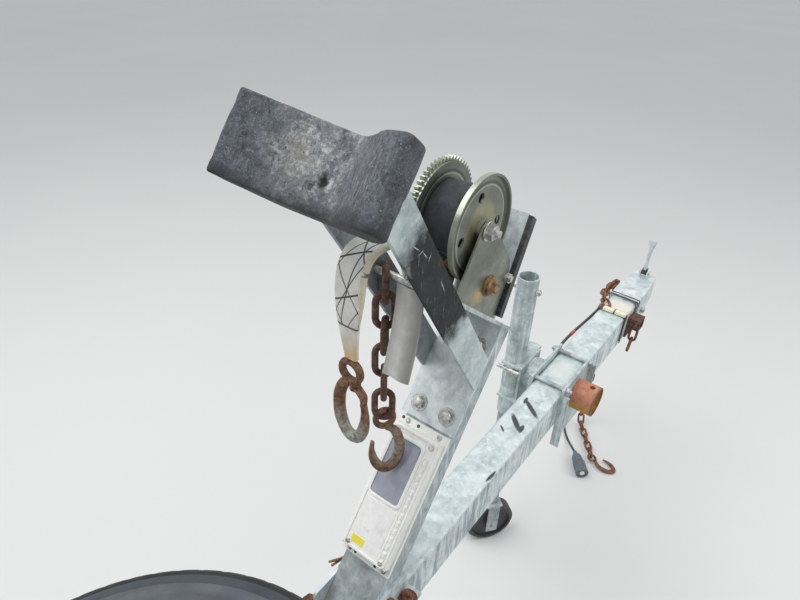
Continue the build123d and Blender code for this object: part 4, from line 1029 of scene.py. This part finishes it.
# Spare wheel.
def spare_tyre(mat):
    """A plain road tyre: four grooves, notched shoulders, and raised rings on smooth, blank sidewalls."""
    half = TYRE_W / 2
    top = [(0.169, 0.056), (0.172, 0.064), (0.178, 0.07), (0.186, 0.0745), (0.19, 0.079), (0.1925, 0.08),
           (0.195, 0.0795), (0.205, 0.083), (0.218, 0.0862), (0.22, 0.0874), (0.2225, 0.0874), (0.2245, 0.0866),
           (0.24, 0.0882), (0.254, half - 0.0006), (0.266, 0.088), (0.2675, half), (0.27, half),
           (0.2715, 0.0872), (0.28, 0.085), (0.286, 0.0826), (0.2868, 0.0806), (0.29, 0.08), (0.2945, 0.0778),
           (0.2978, 0.075), (0.3, 0.071), (0.3014, 0.065), (0.3022, 0.058)]
    tread = []
    for z in (0.048, 0.017, -0.017, -0.048):
        tread += [(0.3026, z + 0.0042), (0.302, z + 0.0034), (0.296, z + 0.0026), (0.2955, z), (0.296, z - 0.0026),
                  (0.302, z - 0.0034), (0.3026, z - 0.0042), (0.303, z - 0.011)]
    sides = 290  # The shoulders are notched at every 5th and the ribs at every 10th.
    rings = []
    for r, z in top + tread[:-1] + [(r, -z) for r, z in reversed(top)]:
        ring = []
        for k in range(sides):
            a = 2 * math.pi * k / sides
            radius = r
            if r > 0.2935 and abs(z) > 0.054:
                radius -= (0.0018 if abs(z) < 0.066 else 0.0006) if k % 5 == 0 else 0.0
            elif r > 0.302 and 0.019 < abs(z) < 0.046:
                radius -= 0.0026 if (k + (2 if z > 0 else 5)) % 10 == 0 else 0.0
            radius += 0.0004 * math.sin(a * 3 + 1.0) if r > 0.28 else 0.0
            ring.append(SPARE + Vector((radius * math.cos(a), radius * math.sin(a), z)))
        rings.append(ring)
    piece = Piece("spare_road_tyre")
    piece.rings(rings, closed=True)
    piece.done(mat, slot="tyre_rubber", replaces=("spare_tyre",), smooth=38)


def valve(mat):
    """The spare's valve."""
    piece = Piece("spare_valve")
    out = Vector((math.cos(math.radians(24)), math.sin(math.radians(24)), 0))
    root = SPARE + out * 0.15 + Vector((0, 0, 0.034))
    piece.lathe(root, (-out.x * 0.35, -out.y * 0.35, 0.94),
                [(0.0078, 0.0), (0.0078, 0.006), (0.0055, 0.01), (0.0046, 0.024), (0.004, 0.026), (0.004, 0.032),
                 (0.005, 0.033), (0.005, 0.04), (0.004, 0.042)], 20)
    piece.done(mat)


# Coupler.
def latch(mat, dark_mat):
    """The latch's handle: a foot on its pin, a bright rod and a flat fan at the top."""
    x, z = 2.134, 0.066
    # Each section's X and Z from the pin, then its half width and half thickness.
    rows = ((-0.0005, 0.012, 0.0062, 0.0066), (0.0005, 0.03, 0.0052, 0.0052), (0.0, 0.055, 0.0048, 0.005),
            (0.001, 0.078, 0.0046, 0.0058), (0.001, 0.09, 0.0036, 0.0092), (0.001, 0.104, 0.0028, 0.0122),
            (0.001, 0.111, 0.0018, 0.013))
    fine = smooth_line([(x + dx, 0, z + dz) for dx, dz, _, _ in rows], 5)
    rings = []
    for n, p in enumerate(fine):
        share = n / (len(fine) - 1) * (len(rows) - 1)
        k = min(int(share), len(rows) - 2)
        wide, thick = (a + (b - a) * (share - k) for a, b in zip(rows[k][2:], rows[k + 1][2:]))
        rings.append([p + Vector((a * wide, b * thick, 0)) for a, b in circle(1.0, 16)])
    piece = Piece("latch_handle")
    piece.rings(rings)
    piece.done(mat, body="latch_body", slot="galvanised_dark", replaces=("latch_lever",), smooth=50)
    outline = [(0.0065 * math.cos(a), 0.0065 * math.sin(a)) for a in
               (math.radians(180 + 180 * k / 10) for k in range(11))]
    outline += [(0.006, 0.012), (0.0042, 0.017), (-0.0042, 0.017), (-0.006, 0.012)]
    foot = Piece("latch_foot")
    foot.rings([[(x + dx, y, z + dz) for dx, dz in outline] for y in (-0.0075, 0.0075)])
    foot.done(dark_mat, body="latch_body", slot="galvanised_dark", bevel=0.0007)


def coupler_bands(dark_mat, strap_mat):
    """Dark straps round the coupler's back end, and the tie that holds the marker tabs."""
    ring = box_outline(-0.0424, 0.0424, -0.034, 0.0544, 0.003)
    for n, (x, wide) in enumerate(((1.967, 0.0078), (1.9815, 0.0036))):
        band = Piece("coupler_band_%d" % (n + 1))
        line = [(x + 0.002 * math.sin(p.x * 40 + n), p.x, p.y) for p in ring]
        band.sweep(line, bar(wide, -0.0004, 0.001), (0, 0.001, 1), closed=True)
        band.done(dark_mat)
    tie = Piece("tab_tie")
    line = [(1.8895, p.x, p.y) for p in box_outline(-0.0384, 0.0384, -0.0502, 0.0504, 0.003)]
    tie.sweep(line, bar(0.0036, -0.0004, 0.0012), (0, 0.001, 1), closed=True)
    tie.done(strap_mat)


# Setting.
def setting():
    """The floor, the white backdrop and two soft lamps."""
    scene = bpy.context.scene
    scene.view_settings.view_transform = "Standard"
    mesh = bpy.data.meshes.new("floor")
    size, level = 30.0, GROUND - 0.0002
    mesh.from_pydata([(x * size, y * size, level) for x, y in ((-1, -1), (1, -1), (1, 1), (-1, 1))], [], [(0, 1, 2, 3)])
    floor = link("floor", mesh)
    f = Finish("floor pale", rough=0.9)
    mesh.materials.append(f.done(f.mix(f.noise(0.6, 3), (0.7, 0.7, 0.69), (0.76, 0.76, 0.75))))

    world = bpy.data.worlds.new("studio")
    world.use_nodes = True
    tree = world.node_tree
    back = tree.nodes["Background"]
    seen, path, mixer, *either = (tree.nodes.new("ShaderNode" + kind)
                                  for kind in ("Background", "LightPath", "MixShader", "Math", "Math"))
    for node, colour, strength in ((back, (0.95, 0.975, 1.0, 1.0), 0.62), (seen, (1.0, 1.0, 1.0, 1.0), 1.0)):
        node.inputs["Color"].default_value = colour
        node.inputs["Strength"].default_value = strength
    for node in either:
        node.operation = "MAXIMUM"
    for source, out, target, socket in (
            (path, "Is Camera Ray", either[0], 0), (path, "Is Glossy Ray", either[0], 1),
            (path, "Is Transmission Ray", either[1], 0), (either[0], 0, either[1], 1), (either[1], 0, mixer, 0),
            (back, 0, mixer, 1), (seen, 0, mixer, 2), (mixer, 0, tree.nodes["World Output"], 0)):
        tree.links.new(source.outputs[out], target.inputs[socket])
    scene.world = world
    for name, place, size, power in (("sky_key", (0.2, 1.2, 3.4), 3.0, 95), ("sky_fill", (2.8, -2.4, 2.2), 2.4, 34)):
        lamp = link(name, put(bpy.data.lights.new(name, "AREA"), size=size, energy=power))
        aim = Vector((1.0, 0, 0.2)) - Vector(place)
        put(lamp, location=place, rotation_euler=aim.to_track_quat("-Z", "Y").to_euler())


def camera():
    """The photo's camera, solved from the tongue's edges."""
    data = put(bpy.data.cameras.new("camera"), lens=27.0, sensor_width=36.0, clip_start=0.02)
    right = Vector((0.61266, -0.78981, 0.02913)).normalized()
    back = Vector((-0.67064, -0.50002, 0.54792)).normalized()
    up = back.cross(right).normalized()
    matrix = Matrix((up.cross(back), up, back)).transposed().to_4x4()
    matrix.translation = Vector((0.36548, -0.36661, 1.00329))
    obj = link("camera", data)
    obj.matrix_world = matrix
    bpy.context.scene.camera = obj


# Everything together.
def dress():
    """Gives every CAD node its finish, and returns the finishes by name."""
    looks = {
        zinc("tongue zinc", (0.66, 0.72, 0.72), (0.42, 0.49, 0.5), 0.6, 0.75, 0.2, scuffed): "tongue_beam",
        zinc("frame zinc", drips=0.3): "base_bars block_plate clamp_left clamp_right jack_carrier jack_tube stub_left "
                                       "rear_flange spare_carrier winch_shelf",
        zinc("coupler zinc", (0.72, 0.76, 0.76), (0.45, 0.5, 0.52), 0.65, 0.3):
            "coupler_body base_plate base_shoe post_plate winch_guard",
        zinc("dull zinc", (0.46, 0.5, 0.51), (0.22, 0.25, 0.27), 0.3, grime=0.5):
            "clamp_rods jack_leg jack_fork latch_lever",
        zinc("right arm zinc", (0.6, 0.66, 0.66), (0.36, 0.43, 0.44), 0.35, grime=0.25, extra=scorched): "arm_right",
        # Painted shade: the left arm's zinc is a copy of the right arm's at about half brightness.
        zinc("left arm shaded zinc", (0.3, 0.32, 0.32), (0.15, 0.17, 0.18), 0.15): "arm_left",
        zinc("post zinc", (0.52, 0.57, 0.58), (0.27, 0.32, 0.34), 0.4, 0.5, extra=foot_stains): "winch_post",
        rusty("brown chain rust", (0.045, 0.026, 0.022), (0.17, 0.085, 0.055), (0.3, 0.16, 0.1), 0.2, 0.4):
            "chain_bracket",
        rusty("flaking rust"): "base_studs chain_hook safety_hook shoe_bolt sling_hook",
        stub_rust("stub rust"): "stub_right",
        bolt_zinc("zinc bolts"): "arm_spacer coupler_bolts drum_axle jack_cross_bolt jack_pull_pin jack_wheel_axle "
                                 "latch_pin plate_bolts spare_nuts winch_tie_bolt",
        yellow_zinc("yellow zinc", stained=True): "winch_frame",
        yellow_zinc("drum zinc", drum=True): "winch_drum",
        rusty("pinion rust", (0.12, 0.07, 0.04), (0.42, 0.26, 0.13), (0.66, 0.5, 0.3), 0.3): "pinion_shaft",
        plain("black edging", (0.018, 0.018, 0.02), (0.055, 0.055, 0.058)): "guard_edging marker_band",
        plain("cream tab", (0.8, 0.74, 0.5), (0.88, 0.84, 0.68), grime=0.35): "marker_tabs",
        plain("tracker white", (0.8, 0.8, 0.76), (0.88, 0.88, 0.85), (0.35, 0.55)): "tracker_case",
        solar_glass("solar window"): "solar_panel",
        tyre_rubber("tyre rubber"): "spare_tyre",
        plain("wheel enamel", (0.62, 0.63, 0.63), (0.74, 0.75, 0.75), (0.25, 0.5), 0.6): "spare_rim",
        plain("wheel rubber", (0.025, 0.025, 0.027), (0.07, 0.07, 0.072), (0.5, 0.8), 0.5): "jack_wheel",
    }
    for mat, names in looks.items():
        for name in names.split():
            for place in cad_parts[name].material_slots:
                place.material = mat
    return {mat.name: mat for mat in looks}


def main():
    """Sets the scene, dresses the CAD and adds every modelled piece."""
    setting()
    camera()
    mats = dress()
    bolts, flakes = mats["zinc bolts"], mats["flaking rust"]
    black = plain("cable sheath", (0.02, 0.02, 0.022), (0.06, 0.06, 0.063), (0.35, 0.6), 0.3)
    wiring(black, plain("plug body", (0.085, 0.105, 0.125), (0.16, 0.19, 0.22), (0.45, 0.7), 0.4),
           plain("red tape", (0.42, 0.06, 0.04), (0.62, 0.14, 0.1), (0.3, 0.5)), mats["cream tab"])
    stain = (0.572, 0.618, (0.66, 0.44, 0.15))
    sling(webbing("sling webbing", (0.87, 0.86, 0.83), (0.7, 0.68, 0.63), lines=0.215, stain=stain),
          webbing("sling edge", (0.8, 0.77, 0.62), (0.66, 0.6, 0.44), stain=stain))
    # The grey strap's edges get painted shade.
    strap(webbing("strap webbing", (0.74, 0.745, 0.73), (0.6, 0.6, 0.57), grime=(0.44, 0.4, 0.33),
                  extra=painted_edge_shade))
    wound_webbing(webbing("winch webbing black", (0.008, 0.009, 0.012), (0.026, 0.031, 0.042), sheen=0.08,
                          grime=(0.02, 0.021, 0.024)))
    bow_block(worn_rubber("worn block rubber"))
    hooks(hook_steel("worn hook"), flakes)
    tracker_details(mats["tracker white"],
                    plain("blank label", (0.78, 0.78, 0.76), (0.86, 0.86, 0.84), (0.3, 0.5), 0.3),
                    plain("blank yellow sticker", (0.78, 0.66, 0.05), (0.88, 0.78, 0.12), (0.3, 0.5)),
                    mats["solar window"], bolts, black)
    spare_tyre(mats["tyre rubber"])
    valve(black)
    latch(zinc("latch zinc", (0.66, 0.7, 0.7), (0.4, 0.44, 0.45), 0.4), mats["black edging"])
    coupler_bands(black, plain("brown tie", (0.1, 0.055, 0.035), (0.2, 0.11, 0.07)))
    fasteners(bolts, mats["pinion rust"], flakes)
    chain_links("bow_chain_links", "bow_chain", 0.0602, 0.035, 0.0098, mats["brown chain rust"], math.radians(38))
    for side in ("left", "right"):
        chain_links(side + "_chain_links", "safety_chain_" + side, 0.049, 0.027, 0.0075, flakes)


main()
